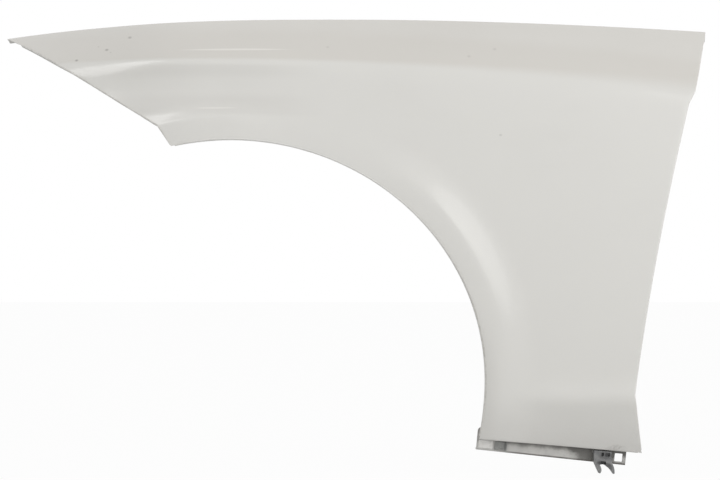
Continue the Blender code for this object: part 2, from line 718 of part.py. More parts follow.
def fender_panel():
    """The skin and its flanges, pressed from one sheet."""
    border, side, band = skin_grids()
    sheet = Sheet()
    border_rows = sheet.grid(on_skin(border))
    side_rows = sheet.grid(on_skin(side), low=border_rows[-1])
    band_rows = sheet.grid(on_skin(band), low=side_rows[-1][:TOP_COLUMNS + 1])

    lip = np.linalg.norm(np.diff(on_skin(border[0]), axis=0), axis=-1)
    run = np.concatenate([[0.0], np.cumsum(lip)])
    from_end = np.minimum(run, run[-1] - run)
    reach = ARCH_LIP * lerp(LIP_END_SHARE, 1.0, ease(from_end / LIP_END_RUN))
    add_flange(sheet, border_rows[0][1:-1], border[0, 1:-1], reach[1:-1])

    foot_row = [row[-1] for row in border_rows[1:] + side_rows[1:-1]]
    foot_edge = np.concatenate([border[1:, -1], side[1:-1, -1]])
    add_flange(sheet, foot_row, foot_edge, np.full(len(foot_row), SILL_FLANGE))

    rear_row = side_rows[-1][TOP_COLUMNS:][::-1] + [row[-1] for row in band_rows[1:-1]]
    rear_edge = np.concatenate([side[-1, TOP_COLUMNS:][::-1], band[1:-1, -1]])
    free = add_flange(sheet, rear_row, rear_edge, np.full(len(rear_row), DOOR_FLANGE))
    for column in DOOR_TAB_COLUMNS:
        add_ear(sheet, free, column - 1, column + 1, DOOR_TAB_REACH)

    light_row = [row[0] for row in band_rows[-2:0:-1] + side_rows[:0:-1]]
    light_edge = np.concatenate([band[-2:0:-1, 0], side[:0:-1, 0]])
    bumper_row = [row[0] for row in border_rows[:0:-1]]
    bumper_edge = border[:0:-1, 0]
    reach = np.concatenate([
        np.full(len(light_row), HEADLIGHT_FLANGE),
        np.full(len(bumper_row), BUMPER_FLANGE)])
    front_edge = np.concatenate([light_edge, bumper_edge])
    add_flange(sheet, light_row + bumper_row, front_edge, reach, FRONT_STRAIGHT_SHARE)

    add_bonnet_edge(sheet, band_rows[-1], band[-1])

    panel = new_object(sheet.bm, "fender_panel")
    thicken(panel, SKIN_SHEET)
    holes = bmesh.new()
    ledge_slots(holes)
    lip_holes(holes)
    door_tab_holes(holes, rear_edge)
    bumper_hole(holes)
    cut(panel, holes, "panel_holes")
    finish(panel, (0.72, 0.70, 0.66), 0.30)


# The lower bracket and what is fixed to it, in a frame of their own on the sill flange

def foot_height(x):
    """Height of the skin's lower edge."""
    share = (x - ARCH_FOOT[0]) / (FOOT_REAR[0] - ARCH_FOOT[0])
    return lerp(ARCH_FOOT[1], FOOT_REAR[1], share)


BRACKET_ENDS = np.array([BRACKET_FRONT_BACK, BRACKET_REAR_BACK])
BRACKET_FRONT, BRACKET_REAR = on_skin(np.stack([BRACKET_ENDS, foot_height(BRACKET_ENDS)], axis=-1))
BRACKET_LENGTH = float(np.linalg.norm(BRACKET_REAR - BRACKET_FRONT))
ALONG = (BRACKET_REAR - BRACKET_FRONT) / BRACKET_LENGTH
INBOARD = np.array([0.0, 1.0, 0.0])
UPWARD = unit(np.array([-ALONG[2], 0.0, ALONG[0]]))
WEB_OUT = unit(np.cross(ALONG, UPWARD))


def at_bracket(along, inboard, up):
    """A point by its distance along the skin's lower edge, inboard of it and above it."""
    return BRACKET_FRONT + ALONG * along + INBOARD * inboard + UPWARD * up


def lower_bracket():
    """A Z section of thicker sheet: top leg on the sill flange, web, and foot."""
    seat = SKIN_SHEET + SEAT_GAP
    end = BRACKET_LENGTH
    leg_start = BRACKET_EAR_WIDTH + BRACKET_BEND
    ear_top = seat + BRACKET_EAR_RISE
    outline = [
        (0.0, -BRACKET_DROP_FRONT),
        (end, -BRACKET_DROP_REAR),
        (end, seat),
        (leg_start, seat),
        (BRACKET_EAR_WIDTH, seat + BRACKET_BEND),
        (BRACKET_EAR_WIDTH, ear_top - BRACKET_EAR_CORNER),
        (BRACKET_EAR_WIDTH - BRACKET_EAR_CORNER, ear_top),
        (BRACKET_EAR_CORNER, ear_top),
        (0.0, ear_top - BRACKET_EAR_CORNER)]
    bm = bmesh.new()
    web = [bm.verts.new(at_bracket(along, BRACKET_SETBACK, up)) for along, up in outline]
    bm.faces.new(web)
    inner, outer = BRACKET_SETBACK + BRACKET_FOOT, BRACKET_SETBACK - BRACKET_TOP_LEG
    foot_front = bm.verts.new(at_bracket(0.0, inner, -BRACKET_DROP_FRONT))
    foot_rear = bm.verts.new(at_bracket(end, inner, -BRACKET_DROP_REAR))
    bm.faces.new((web[1], web[0], foot_front, foot_rear))
    leg_rear = bm.verts.new(at_bracket(end, outer, seat))
    leg_front = bm.verts.new(at_bracket(leg_start, outer, seat))
    bm.faces.new((web[3], web[2], leg_rear, leg_front))
    bends = [edge for edge in bm.edges if len(edge.link_faces) == 2]
    bmesh.ops.bevel(bm, geom=bends, offset=BRACKET_BEND, segments=3, affect="EDGES", profile=0.5)
    bracket = new_object(bm, "lower_bracket")
    thicken(bracket, BRACKET_SHEET)

    holes = bmesh.new()
    web_holes = (
        (NUT_FROM_FRONT, NUT_DROP, NUT_BODY_SIDE + 2 * SEAT_GAP),
        (end - CLIP_FROM_REAR, CLIP_SHANK_DROP, CLIP_SHANK_SIDE + 2 * SEAT_GAP),
        (end - OPEN_HOLE_FROM_REAR, OPEN_HOLE_DROP, OPEN_HOLE_SIDE))
    for along, drop, side in web_holes:
        add_prism(holes, square(side), at_bracket(along, BRACKET_SETBACK, -drop), ALONG, UPWARD)
    for share in FOOT_SLOT_SHARES:
        drop = lerp(BRACKET_DROP_FRONT, BRACKET_DROP_REAR, share)
        centre = at_bracket(share * end, BRACKET_SETBACK + FOOT_SLOT_INSET, -drop)
        add_prism(holes, slot(FOOT_SLOT_RADIUS, FOOT_SLOT_LENGTH), centre, ALONG, INBOARD)
    cut(bracket, holes, "bracket_holes")
    finish(bracket, (0.62, 0.61, 0.59), 0.45)


def on_web(along, drop):
    """Middle of a piece's seat on the web's outer face, one gap proud of it."""
    return at_bracket(along, BRACKET_SETBACK, -drop) + WEB_OUT * SEAT_GAP


def join(thing, bm, name):
    """Join the solids of a bmesh to an object."""
    other = new_object(bm, name)
    other.hide_render = True
    other.display_type = "WIRE"
    boolean = thing.modifiers.new("joined", "BOOLEAN")
    boolean.operation = "UNION"
    boolean.solver = "EXACT"
    boolean.object = other


def plug_nut():
    """Plastic nut pushed into the bracket's square hole: head, body and a blind screw bore."""
    seat = on_web(NUT_FROM_FRONT, NUT_DROP)
    head = bmesh.new()
    outline = square(NUT_HEAD_WIDTH, NUT_HEAD_HEIGHT)
    add_prism(head, outline, seat, ALONG, UPWARD, reach=NUT_HEAD_THICK, back=0.0)
    nut = new_object(head, "plug_nut")
    body = bmesh.new()
    outline = square(NUT_BODY_SIDE)
    add_prism(body, outline, seat, ALONG, UPWARD, reach=NUT_HEAD_THICK / 2, back=NUT_BODY_LENGTH)
    join(nut, body, "nut_body")
    bore = bmesh.new()
    outline = circle(NUT_BORE_RADIUS)
    depth = NUT_BODY_LENGTH - NUT_BORE_RADIUS
    add_prism(bore, outline, seat, ALONG, UPWARD, reach=NUT_HEAD_THICK + CUT_OVERRUN, back=depth)
    cut(nut, bore, "nut_bore")
    round_edges(nut, NUT_EDGE)
    finish(nut, (0.24, 0.24, 0.24), 0.55)


def curve(start, middle, end, steps):
    """Points of a curve that leaves start towards middle and arrives at end from there."""
    share = np.linspace(0, 1, steps + 1)[:, None]
    return lerp(lerp(start, middle, share), lerp(middle, end, share), share)


# The clip's outline from its top front corner, as shares of its width and of its height
CLIP_FRONT_SHARES = ((0.0, 0.0), (0.03, 0.22), (0.25, 0.94), (0.31, 0.98), (0.36, 0.91))
CLIP_FORK_SHARES = ((0.34, 0.64), (0.44, 0.42), (0.71, 0.57))
CLIP_HOOK_SHARES = ((0.71, 0.57), (0.88, 0.72), (0.92, 0.95))
CLIP_REAR_SHARES = ((0.98, 0.98), (1.0, 0.92), (0.97, 0.64), (0.88, 0.36), (0.86, 0.0))


def sill_trim_clip():
    """Forked plastic clip: a block on the web, two prongs below it and a square shank."""
    front, fork, hook, rear = (
        np.array(shares) * np.array([CLIP_WIDTH, -CLIP_HEIGHT])
        for shares in (CLIP_FRONT_SHARES, CLIP_FORK_SHARES, CLIP_HOOK_SHARES, CLIP_REAR_SHARES))
    outline = np.concatenate([front, curve(*fork, 5), curve(*hook, 5)[1:], rear])
    outline = outline - np.array([CLIP_WIDTH / 2, CLIP_TOP_DROP])
    along = BRACKET_LENGTH - CLIP_FROM_REAR
    block = bmesh.new()
    add_prism(block, outline, on_web(along, 0.0), ALONG, UPWARD, reach=CLIP_THICK, back=0.0)
    clip = new_object(block, "sill_trim_clip")
    shank = bmesh.new()
    seat = on_web(along, CLIP_SHANK_DROP)
    outline = square(CLIP_SHANK_SIDE)
    add_prism(shank, outline, seat, ALONG, UPWARD, reach=CLIP_THICK / 2, back=CLIP_SHANK_LENGTH)
    join(clip, shank, "clip_shank")
    round_edges(clip, CLIP_EDGE)
    finish(clip, (0.20, 0.20, 0.20), 0.50)


def main():
    """Build every piece of the fender."""
    fender_panel()
    lower_bracket()
    plug_nut()
    sill_trim_clip()


main()
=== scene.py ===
# %% [markdown]
# # A car's front fender in pressed steel
# The fender is one sheet of steel: a skin with a shoulder line, a scoop behind the headlight and
# a flare round the wheel, and a flange turned in along every edge. A folded bracket hangs from
# its foot, with a plastic nut and a forked clip in it.
#
# Everything is in metres, with +X to the car's rear, +Y inboard and +Z up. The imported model
# comes in first and stays as it is. The new pieces stand on the same places.

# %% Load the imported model
import math

import bmesh
import bpy
import numpy as np
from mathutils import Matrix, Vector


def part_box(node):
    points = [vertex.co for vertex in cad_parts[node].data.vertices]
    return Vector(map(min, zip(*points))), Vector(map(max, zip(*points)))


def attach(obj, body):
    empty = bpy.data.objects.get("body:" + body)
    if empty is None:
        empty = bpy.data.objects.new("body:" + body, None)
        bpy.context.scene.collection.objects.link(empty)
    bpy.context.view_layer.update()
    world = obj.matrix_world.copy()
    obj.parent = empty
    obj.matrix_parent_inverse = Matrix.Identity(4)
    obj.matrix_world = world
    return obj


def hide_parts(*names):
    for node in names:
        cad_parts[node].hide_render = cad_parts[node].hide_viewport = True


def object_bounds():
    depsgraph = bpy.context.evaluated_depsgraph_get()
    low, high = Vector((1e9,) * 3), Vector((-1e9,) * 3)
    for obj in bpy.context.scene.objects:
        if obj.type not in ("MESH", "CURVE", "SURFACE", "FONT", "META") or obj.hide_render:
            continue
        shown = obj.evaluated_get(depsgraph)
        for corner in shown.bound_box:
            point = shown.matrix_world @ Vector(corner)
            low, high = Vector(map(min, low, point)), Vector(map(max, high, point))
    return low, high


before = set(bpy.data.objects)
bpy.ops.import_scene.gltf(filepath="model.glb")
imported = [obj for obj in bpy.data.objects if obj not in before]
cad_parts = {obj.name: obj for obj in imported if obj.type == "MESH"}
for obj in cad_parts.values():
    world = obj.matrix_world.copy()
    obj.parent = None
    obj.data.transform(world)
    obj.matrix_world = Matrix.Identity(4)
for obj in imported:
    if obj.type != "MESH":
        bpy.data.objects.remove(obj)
CAD_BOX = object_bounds()
for name in sorted(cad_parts):
    low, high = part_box(name)
    print(name, "from", [round(v, 4) for v in low], "to", [round(v, 4) for v in high])

# %% [markdown]
# ## Camera
# The picture was taken square to the side of the panel, from about three metres, a little
# behind the middle of the wheel and level with the upper part of the arch. A long lens from
# there keeps both ends of the panel in the frame, and the lines of the far parts draw in a
# little.

# %% Camera
PIXELS_WIDE = 720
PIXELS_HIGH = 480
METRES_PER_PIXEL = 0.0014
CAMERA_DISTANCE = 3.2
LEDGE_HEIGHT = 0.4885
PAD_DEPTH = 0.1259045
CAMERA_BACK = 0.1823
CAMERA_HEIGHT = 0.1990

camera_data = bpy.data.cameras.new("camera")
camera_data.angle = 2 * math.atan(PIXELS_WIDE / 2 * METRES_PER_PIXEL / CAMERA_DISTANCE)
camera = bpy.data.objects.new("camera", camera_data)
camera.location = (CAMERA_BACK, -CAMERA_DISTANCE - PAD_DEPTH, CAMERA_HEIGHT - LEDGE_HEIGHT)
camera.rotation_euler = (math.pi / 2, 0, 0)
bpy.context.scene.collection.objects.link(camera)
bpy.context.scene.camera = camera
print("camera angle", round(math.degrees(camera_data.angle), 2), "degrees")

# %% [markdown]
# ## Helpers for surfaces
# A surface is a grid of points, worked out as one array, and four neighbours make a face. Parts
# of the same sheet share their edge rows, so the patches are put together first and points
# that fall on each other are merged, which closes the seams.


# %% Helpers for surfaces
MERGE_DISTANCE = 2e-6
SHORTEST_EDGE = 1e-7
BOX_MARGIN = 1e-6


def add_object(name, data):
    """A new object of the given data, linked to the scene."""
    thing = bpy.data.objects.new(name, data)
    bpy.context.scene.collection.objects.link(thing)
    return thing


def ease(share):
    """A smooth step from 0 to 1: 3s^2 - 2s^3, held at both ends."""
    share = np.clip(share, 0.0, 1.0)
    return share * share * (3 - 2 * share)


def lerp(start, end, share):
    """A straight blend: start + (end - start) * share."""
    return start + (end - start) * share


def soft(value, radius):
    """A ramp with a rounded foot: half of v + sqrt(v^2 + r^2)."""
    return (value + np.sqrt(value * value + radius * radius)) / 2


def unit(rows):
    """Each row divided by its own length."""
    return rows / np.linalg.norm(rows, axis=-1, keepdims=True)


def grid_faces(rows, columns):
    """Corner numbers of the quads of a grid: n, n + 1, n + 1 + columns, n + columns."""
    corner = np.arange(rows - 1)[:, None] * columns + np.arange(columns - 1)[None]
    return np.stack([corner, corner + 1, corner + 1 + columns, corner + columns], -1).reshape(-1, 4)


def sheet_mesh(name, patches, slots=None):
    """A mesh of several grids, each rows x columns x 3, with the points on seams merged.

    slots holds the material slot of each grid.
    """
    points, faces, count = [], [], 0
    for patch in patches:
        rows, columns = patch.shape[:2]
        faces.append(grid_faces(rows, columns) + count)
        points.append(patch.reshape(-1, 3))
        count += rows * columns
    mesh = bpy.data.meshes.new(name)
    mesh.from_pydata(np.concatenate(points), [], np.concatenate(faces))
    if slots is not None:
        numbers = np.repeat(slots, [len(group) for group in faces])
        mesh.polygons.foreach_set("material_index", numbers)
    bm = bmesh.new()
    bm.from_mesh(mesh)
    bmesh.ops.remove_doubles(bm, verts=bm.verts, dist=MERGE_DISTANCE)
    bmesh.ops.dissolve_degenerate(bm, edges=bm.edges, dist=SHORTEST_EDGE)
    bm.to_mesh(mesh)
    bm.free()
    return add_object(name, mesh)


def settle(thing, sharp_deg):
    """Put a piece's modifiers into its mesh, then shade it smooth up to the given angle."""
    graph = bpy.context.evaluated_depsgraph_get()
    mesh = bpy.data.meshes.new_from_object(thing.evaluated_get(graph))
    thing.modifiers.clear()
    thing.data = mesh
    mesh.shade_smooth()
    mesh.set_sharp_from_angle(angle=math.radians(sharp_deg))
    triangles = sum(len(face.vertices) - 2 for face in mesh.polygons)
    print(thing.name, "has", len(mesh.polygons), "faces,", triangles, "triangles")


def keep_inside(thing, box):
    """Hold every point of a piece within the box: min(max(p, low), high)."""
    mesh = thing.data
    points = np.empty(len(mesh.vertices) * 3)
    mesh.vertices.foreach_get("co", points)
    low, high = np.array(box[0]) + BOX_MARGIN, np.array(box[1]) - BOX_MARGIN
    held = np.clip(points.reshape(-1, 3), low, high)
    moved = 1000 * float(abs(held.ravel() - points).max())
    print(thing.name, "points moved by at most", round(moved, 2), "mm")
    mesh.vertices.foreach_set("co", held.ravel())
    mesh.update()


# %% [markdown]
# ## The lines of the outline
# Seen from the side, the panel is bounded by the bonnet edge, the headlight edge, a short
# bumper edge, the wheel arch, the foot and the door edge. Each line is a formula of the place
# x behind the arch's middle and the height h above it. The arch is half an ellipse, the other
# lines are low arcs, so a few sizes say all of it and the lines stay fair.

# %% Sizes of the outline
ARCH_HALF_LENGTH = 0.3582
ARCH_HALF_HEIGHT = 0.3397
ARCH_LOWER_HALF_HEIGHT = 0.3720
ARCH_FRONT_AHEAD = 0.0838
ARCH_FOOT_DROP = 0.0817
TOP_HEIGHT = 0.5175
TOP_CROWN_BACK = 0.200
TIP_AHEAD = 0.3478
TIP_FALL = 0.0163
REAR_TOP_BACK = 0.6875
REAR_TOP_FALL = 0.0144
SHOULDER_HEIGHT = 0.4546
SHOULDER_CROWN_AHEAD = 0.100
SHOULDER_FRONT_AHEAD = 0.2387
SHOULDER_FRONT_FALL = 0.0043
SHOULDER_REAR_BACK = 0.6600
SHOULDER_REAR_FALL = 0.0440
HEADLIGHT_BOW = 0.0060
WAIST_DROP = 0.020
DOOR_SLOPE_SHARE = 0.67
BUMPER_TOP = np.array([-0.1043, 0.3602])
NOTCH = np.array([0.650, 0.392])
WAIST = np.array([0.571, -WAIST_DROP])
FOOT_REAR = np.array([0.5841, -0.1050])


# %% Lines of the outline
def top_height(x):
    """Bonnet edge: the crown's height less a fall that grows as (distance)^2.5 or ^1.7."""
    ahead = np.maximum(0, TOP_CROWN_BACK - x) / (TOP_CROWN_BACK + TIP_AHEAD)
    behind = np.maximum(0, x - TOP_CROWN_BACK) / (REAR_TOP_BACK - TOP_CROWN_BACK)
    return TOP_HEIGHT - TIP_FALL * ahead ** 2.5 - REAR_TOP_FALL * behind ** 1.7


def shoulder_height(x):
    """Shoulder line: its crown less a fall that grows as (distance)^2 or ^1.9."""
    crown = -SHOULDER_CROWN_AHEAD
    ahead = np.maximum(0, crown - x) / (SHOULDER_FRONT_AHEAD - SHOULDER_CROWN_AHEAD)
    behind = np.maximum(0, x - crown) / (SHOULDER_REAR_BACK + SHOULDER_CROWN_AHEAD)
    return SHOULDER_HEIGHT - SHOULDER_FRONT_FALL * ahead ** 2 - SHOULDER_REAR_FALL * behind ** 1.9


def arch_point(angle):
    """Ellipse: half length times cos, half height times sin; the lower half is taller."""
    half_height = np.where(angle < 0, ARCH_LOWER_HALF_HEIGHT, ARCH_HALF_HEIGHT)
    return np.stack([ARCH_HALF_LENGTH * np.cos(angle), half_height * np.sin(angle)], axis=-1)


TIP = np.array([-TIP_AHEAD, TOP_HEIGHT - TIP_FALL])
REAR_TOP = np.array([REAR_TOP_BACK, TOP_HEIGHT - REAR_TOP_FALL])
SHOULDER_REAR = np.array([SHOULDER_REAR_BACK, SHOULDER_HEIGHT - SHOULDER_REAR_FALL])


def headlight_point(share):
    """Headlight edge: a straight line from bumper to tip, with a bow of 4s^2(1 - s)."""
    share = np.asarray(share, dtype=float)
    across = unit(np.array([TIP[1] - BUMPER_TOP[1], BUMPER_TOP[0] - TIP[0]]))
    bow = 4 * HEADLIGHT_BOW * share * share * (1 - share)
    return lerp(BUMPER_TOP, TIP, share[..., None]) + across * bow[..., None]


def door_slope_point(share):
    """Door edge from notch to waist: its setback is a mix of u and u^2, u the share of height."""
    up = 1 - np.asarray(share, dtype=float)
    mixed = DOOR_SLOPE_SHARE * up + (1 - DOOR_SLOPE_SHARE) * up * up
    back = WAIST[0] + (NOTCH[0] - WAIST[0]) * mixed
    return np.stack([back, lerp(WAIST[1], NOTCH[1], up)], axis=-1)


def shoulder_start_share():
    """Where headlight edge and shoulder line cross, read off a fine table of both."""
    share = np.linspace(0, 1, 200001)
    x, h = headlight_point(share).T
    return float(share[np.argmax(h >= shoulder_height(x))])


SHOULDER_START = shoulder_start_share()
ARCH_FRONT_ANGLE = math.acos(-ARCH_FRONT_AHEAD / ARCH_HALF_LENGTH)
ARCH_FOOT_ANGLE = -math.asin(ARCH_FOOT_DROP / ARCH_LOWER_HALF_HEIGHT)
ARCH_WAIST_ANGLE = -math.asin(WAIST_DROP / ARCH_LOWER_HALF_HEIGHT)
ARCH_CORNER_ANGLE = math.radians(40.0)
ARCH_FRONT = arch_point(ARCH_FRONT_ANGLE)
ARCH_FOOT = arch_point(ARCH_FOOT_ANGLE)
print("the shoulder line meets the headlight edge", round(headlight_point(SHOULDER_START)[0], 4))

# %% [markdown]
# ## The form of the skin
# A fender is designed as a few simple forms laid over each other: the crown of the body in plan
# and in height, a band that leans in above the shoulder line, a roll and a hollow below it that
# make the scoop, a flare round the wheel with a hollow fillet behind it, and a foot that tucks
# in below a crease. Each form is a depth at every x and h, and the skin's depth is their sum.
# Rounded ramps keep the creases crisp at the front and let them die out to the rear, as they do
# on the real panel.

# %% Sizes of the form
PLAN_START_BACK = 0.050
PLAN_FRONT_RADIUS = 0.65
PLAN_REAR_RADIUS = 6.0
BARREL_HEIGHT = 0.130
BARREL_RADIUS = 2.6
BAND_LEAN_FRONT_DEG = 52.0
BAND_LEAN_REAR_DEG = 37.0
BAND_CROWN_RADIUS = 0.50
SHOULDER_SOFT_FRONT = 0.0035
SHOULDER_SOFT_REAR = 0.018
SHOULDER_SOFT_RUN = 0.87
SHOULDER_SOFTER_AT_TIP = 0.0065
ROLL_SLOPE = 0.55
ROLL_HEIGHT = 0.013
ROLL_FADE = (-0.080, -0.215)
HOLLOW_DEPTH = 0.0050
HOLLOW_DROP = 0.040
HOLLOW_SPREAD = 0.030
HOLLOW_FADE = (0.220, -0.160)
BORDER_FRONT = 0.034
BORDER_FOOT = 0.035
FLARE_BASE = 0.0020
FLARE_FRONT = 0.0060
FLARE_REAR = 0.0120
FLARE_FOOT = 0.34
FILLET_FRONT = 0.024
FILLET_REAR = 0.046
FLARE_SOFT = 0.0025
FLARE_FOOT_SOFT = 0.024
LIP_ROLL = 0.0030
LIP_ROLL_FRONT = 0.30
BORDER_WIDENS_DEG = (45.0, 5.0)
FRONT_CREASE_DEG = (76.0, 92.0)
REAR_CREASE_DEG = (64.0, 38.0)
FOOT_SOFTENS_DEG = (44.0, -4.0)
FILLET_WIDENS_DEG = (80.0, 40.0)
SILL_CREASE_DROP = 0.0265
SILL_SLOPE = 0.17
SILL_SOFT = 0.007
SILL_RADIUS = 0.38
SILL_LIFT = 0.0035
SILL_LIFT_HEIGHT = 0.020
SILL_START_BACK = 0.385
SILL_RUN_OUT = 0.085
SILL_FRONT = 0.60


# %% Crown, shoulder band and scoop
def between(value, span):
    """A smooth step that is 0 at the span's first value and 1 at its second."""
    return ease((value - span[0]) / (span[1] - span[0]))


def crown(x, h):
    """Two circles in plan and one in height: (distance)^2 / (2 * radius)."""
    ahead = np.maximum(0, PLAN_START_BACK - x)
    behind = np.maximum(0, x - PLAN_START_BACK)
    plan = ahead ** 2 / (2 * PLAN_FRONT_RADIUS) + behind ** 2 / (2 * PLAN_REAR_RADIUS)
    return plan + (h - BARREL_HEIGHT) ** 2 / (2 * BARREL_RADIUS)


def shoulder(x, h):
    """Above the line a leaning band; below it a roll that dies as exp(-d) and a hollow."""
    back = np.clip((x + TIP_AHEAD) / (TIP_AHEAD + REAR_TOP_BACK), 0, 1)
    above = h - shoulder_height(x)
    rounding = lerp(SHOULDER_SOFT_FRONT, SHOULDER_SOFT_REAR, ease(back / SHOULDER_SOFT_RUN))
    rounding = rounding + SHOULDER_SOFTER_AT_TIP * between(x, ROLL_FADE)
    lean = np.tan(np.radians(lerp(BAND_LEAN_FRONT_DEG, BAND_LEAN_REAR_DEG, back)))
    band = lean * soft(above, rounding) + np.maximum(0, above) ** 2 / (2 * BAND_CROWN_RADIUS)
    below = soft(-above, rounding)
    roll = ROLL_SLOPE * ROLL_HEIGHT * np.exp(-below / ROLL_HEIGHT) * between(x, ROLL_FADE)
    bell = np.exp(-((below - HOLLOW_DROP) / HOLLOW_SPREAD) ** 2)
    return band + roll + HOLLOW_DEPTH * between(x, HOLLOW_FADE) * bell


# %% Flare and sill
def arch_distance(x, h):
    """Distance outside the ellipse along the ray from its middle, and that ray's angle."""
    half_height = np.where(h < 0, ARCH_LOWER_HALF_HEIGHT, ARCH_HALF_HEIGHT)
    scale = np.sqrt((x / ARCH_HALF_LENGTH) ** 2 + (h / half_height) ** 2)
    angle = np.degrees(np.arctan2(h / half_height, x / ARCH_HALF_LENGTH))
    return np.hypot(x, h) * (1 - 1 / scale), angle


def border_width(angle):
    """Width of the flare's border: even over the top, wider towards the foot."""
    return lerp(BORDER_FRONT, BORDER_FOOT, between(angle, BORDER_WIDENS_DEG))


def flare(x, h):
    """How far the skin stands proud: full on the border, then (1 - d / fillet)^2 outside it."""
    distance, angle = arch_distance(x, h)
    width = border_width(angle)
    front, rear = between(angle, FRONT_CREASE_DEG), between(angle, REAR_CREASE_DEG)
    foot = between(angle, FOOT_SOFTENS_DEG)
    proud = FLARE_BASE + FLARE_FRONT * front + FLARE_REAR * rear * lerp(1.0, FLARE_FOOT, foot)
    fillet = lerp(FILLET_FRONT, FILLET_REAR, between(angle, FILLET_WIDENS_DEG))
    rounding = lerp(FLARE_SOFT, FLARE_FOOT_SOFT, np.maximum(foot, 1 - np.maximum(front, rear)))
    past = soft(distance - width, rounding)
    roll = LIP_ROLL * lerp(LIP_ROLL_FRONT, 1.0, rear) * np.clip(1 - distance / width, 0, 1) ** 2
    return proud * np.clip(1 - past / fillet, 0, 1) ** 2 - roll


def sill(x, h):
    """Below the crease the foot tucks in as slope * d + d^2 / 2R, and a bell lifts the crease."""
    share = ease((x - SILL_START_BACK) / SILL_RUN_OUT)
    below = -SILL_CREASE_DROP - h
    past = soft(below, lerp(2 * SILL_SOFT, SILL_SOFT, share))
    tuck = (SILL_SLOPE * past + past ** 2 / (2 * SILL_RADIUS)) * lerp(SILL_FRONT, 1.0, share)
    return tuck - SILL_LIFT * share * np.exp(-(below / SILL_LIFT_HEIGHT) ** 2)


# %% The skin in the model's frame
def skin_depth(x, h):
    """Depth of the outer face inboard of its widest place: the sum of all the forms."""
    return crown(x, h) + shoulder(x, h) - flare(x, h) + sill(x, h)


def place(x, h, depth):
    """x, h and depth as points of the model: the origin is on the underside of the ledge."""
    x, h, depth = np.broadcast_arrays(x, h, depth)
    return np.stack([x, depth - PAD_DEPTH, h - LEDGE_HEIGHT], axis=-1)


def on_skin(points):
    """Points of the outline's plane, x and h, laid on the skin."""
    return place(points[..., 0], points[..., 1], skin_depth(points[..., 0], points[..., 1]))


def slopes(points, step=2e-4):
    """Slope of the depth along x and along h, from one neighbour on each side."""
    x, h = points[..., 0], points[..., 1]
    along = (skin_depth(x + step, h) - skin_depth(x - step, h)) / (2 * step)
    up = (skin_depth(x, h + step) - skin_depth(x, h - step)) / (2 * step)
    return along, up


for where, x, h in (("arch", 0.0, ARCH_HALF_HEIGHT), ("flank", 0.5, 0.2), ("top", 0.2, 0.517)):
    inboard = round(1000 * float(skin_depth(x, h)), 1)
    print(where, "lies", inboard, "mm inboard of the widest place")

# %% [markdown]
# ## The grid of the skin
# A press tool's surface has no seams, but a grid has four sides, and this panel has six. So the
# grid is in three parts that share their edges: a border and a side that fan round the arch, and
# the band above the shoulder line. The rows crowd together where a crease runs, because a crease
# with too few rows shows as a blurred line in the paint. The last row before each outer edge
# keeps clear of the bend that the flange needs.


# %% The grid of the skin
def refined(stations, counts):
    """Stations with each gap divided evenly into its own number of steps."""
    gaps = zip(stations, stations[1:], counts)
    parts = [np.linspace(low, high, count, endpoint=False) for low, high, count in gaps]
    return np.append(np.concatenate(parts), stations[-1])


TOP_COLUMNS = 176
NOTCH_COLUMNS = 8
SLOPE_COLUMNS = 80
FOOT_COLUMNS = 16
BORDER_ROWS = refined([0.0, 0.10, 0.62, 0.88, 1.0], [1, 8, 6, 5])
SIDE_ROWS_FRONT = refined([0.0, 0.05, 0.21, 0.58, 0.80, 0.95, 1.0], [9, 14, 14, 10, 11, 6])
SIDE_ROWS_REAR = refined([0.0, 0.05, 0.21, 0.58, 0.90, 0.97, 1.0], [9, 14, 16, 18, 6, 1])
FLANGE_STOP_SHARE = 0.74
BAND_ROWS = refined([0.0, 0.18, 0.42, FLANGE_STOP_SHARE, 0.94, 1.0], [12, 8, 8, 4, 1])
TOP_SHARES = refined([0.0, 0.014, 1.0], [1, TOP_COLUMNS - 1])
BORDER_FRONT_SHARE = 0.12
BORDER_FOOT_SHARE = 0.14
ROWS_CHANGE_SHARE = 0.6


def fan_curves():
    """The arch by its angle, and point for point the outer line from headlight to foot."""
    start = headlight_point(SHOULDER_START)[0]
    x = lerp(start, SHOULDER_REAR_BACK, TOP_SHARES)
    outer = np.concatenate([
        np.stack([x, shoulder_height(x)], axis=-1),
        lerp(SHOULDER_REAR, NOTCH, np.linspace(0, 1, NOTCH_COLUMNS + 1)[1:, None]),
        door_slope_point(np.linspace(0, 1, SLOPE_COLUMNS + 1)[1:]),
        lerp(WAIST, FOOT_REAR, np.linspace(0, 1, FOOT_COLUMNS + 1)[1:, None])])
    angles = np.concatenate([
        lerp(ARCH_FRONT_ANGLE, ARCH_CORNER_ANGLE, TOP_SHARES),
        np.linspace(ARCH_CORNER_ANGLE, ARCH_WAIST_ANGLE, NOTCH_COLUMNS + SLOPE_COLUMNS + 1)[1:],
        np.linspace(ARCH_WAIST_ANGLE, ARCH_FOOT_ANGLE, FOOT_COLUMNS + 1)[1:]])
    return angles, outer


def border_line(angles):
    """The flare's crease: the arch moved out by the border's width, ending on both edges."""
    arch = arch_point(angles)
    share = np.linspace(0, 1, len(angles))
    width = border_width(np.degrees(angles))
    foot_share = width[-1] / np.linalg.norm(FOOT_REAR - ARCH_FOOT)
    at_front = ease(1 - share / BORDER_FRONT_SHARE)[:, None]
    at_foot = ease(1 - (1 - share) / BORDER_FOOT_SHARE)[:, None]
    ends = (BUMPER_TOP - ARCH_FRONT) * at_front + (FOOT_REAR - ARCH_FOOT) * foot_share * at_foot
    return arch + unit(arch) * width[:, None] * (1 - at_front - at_foot) + ends


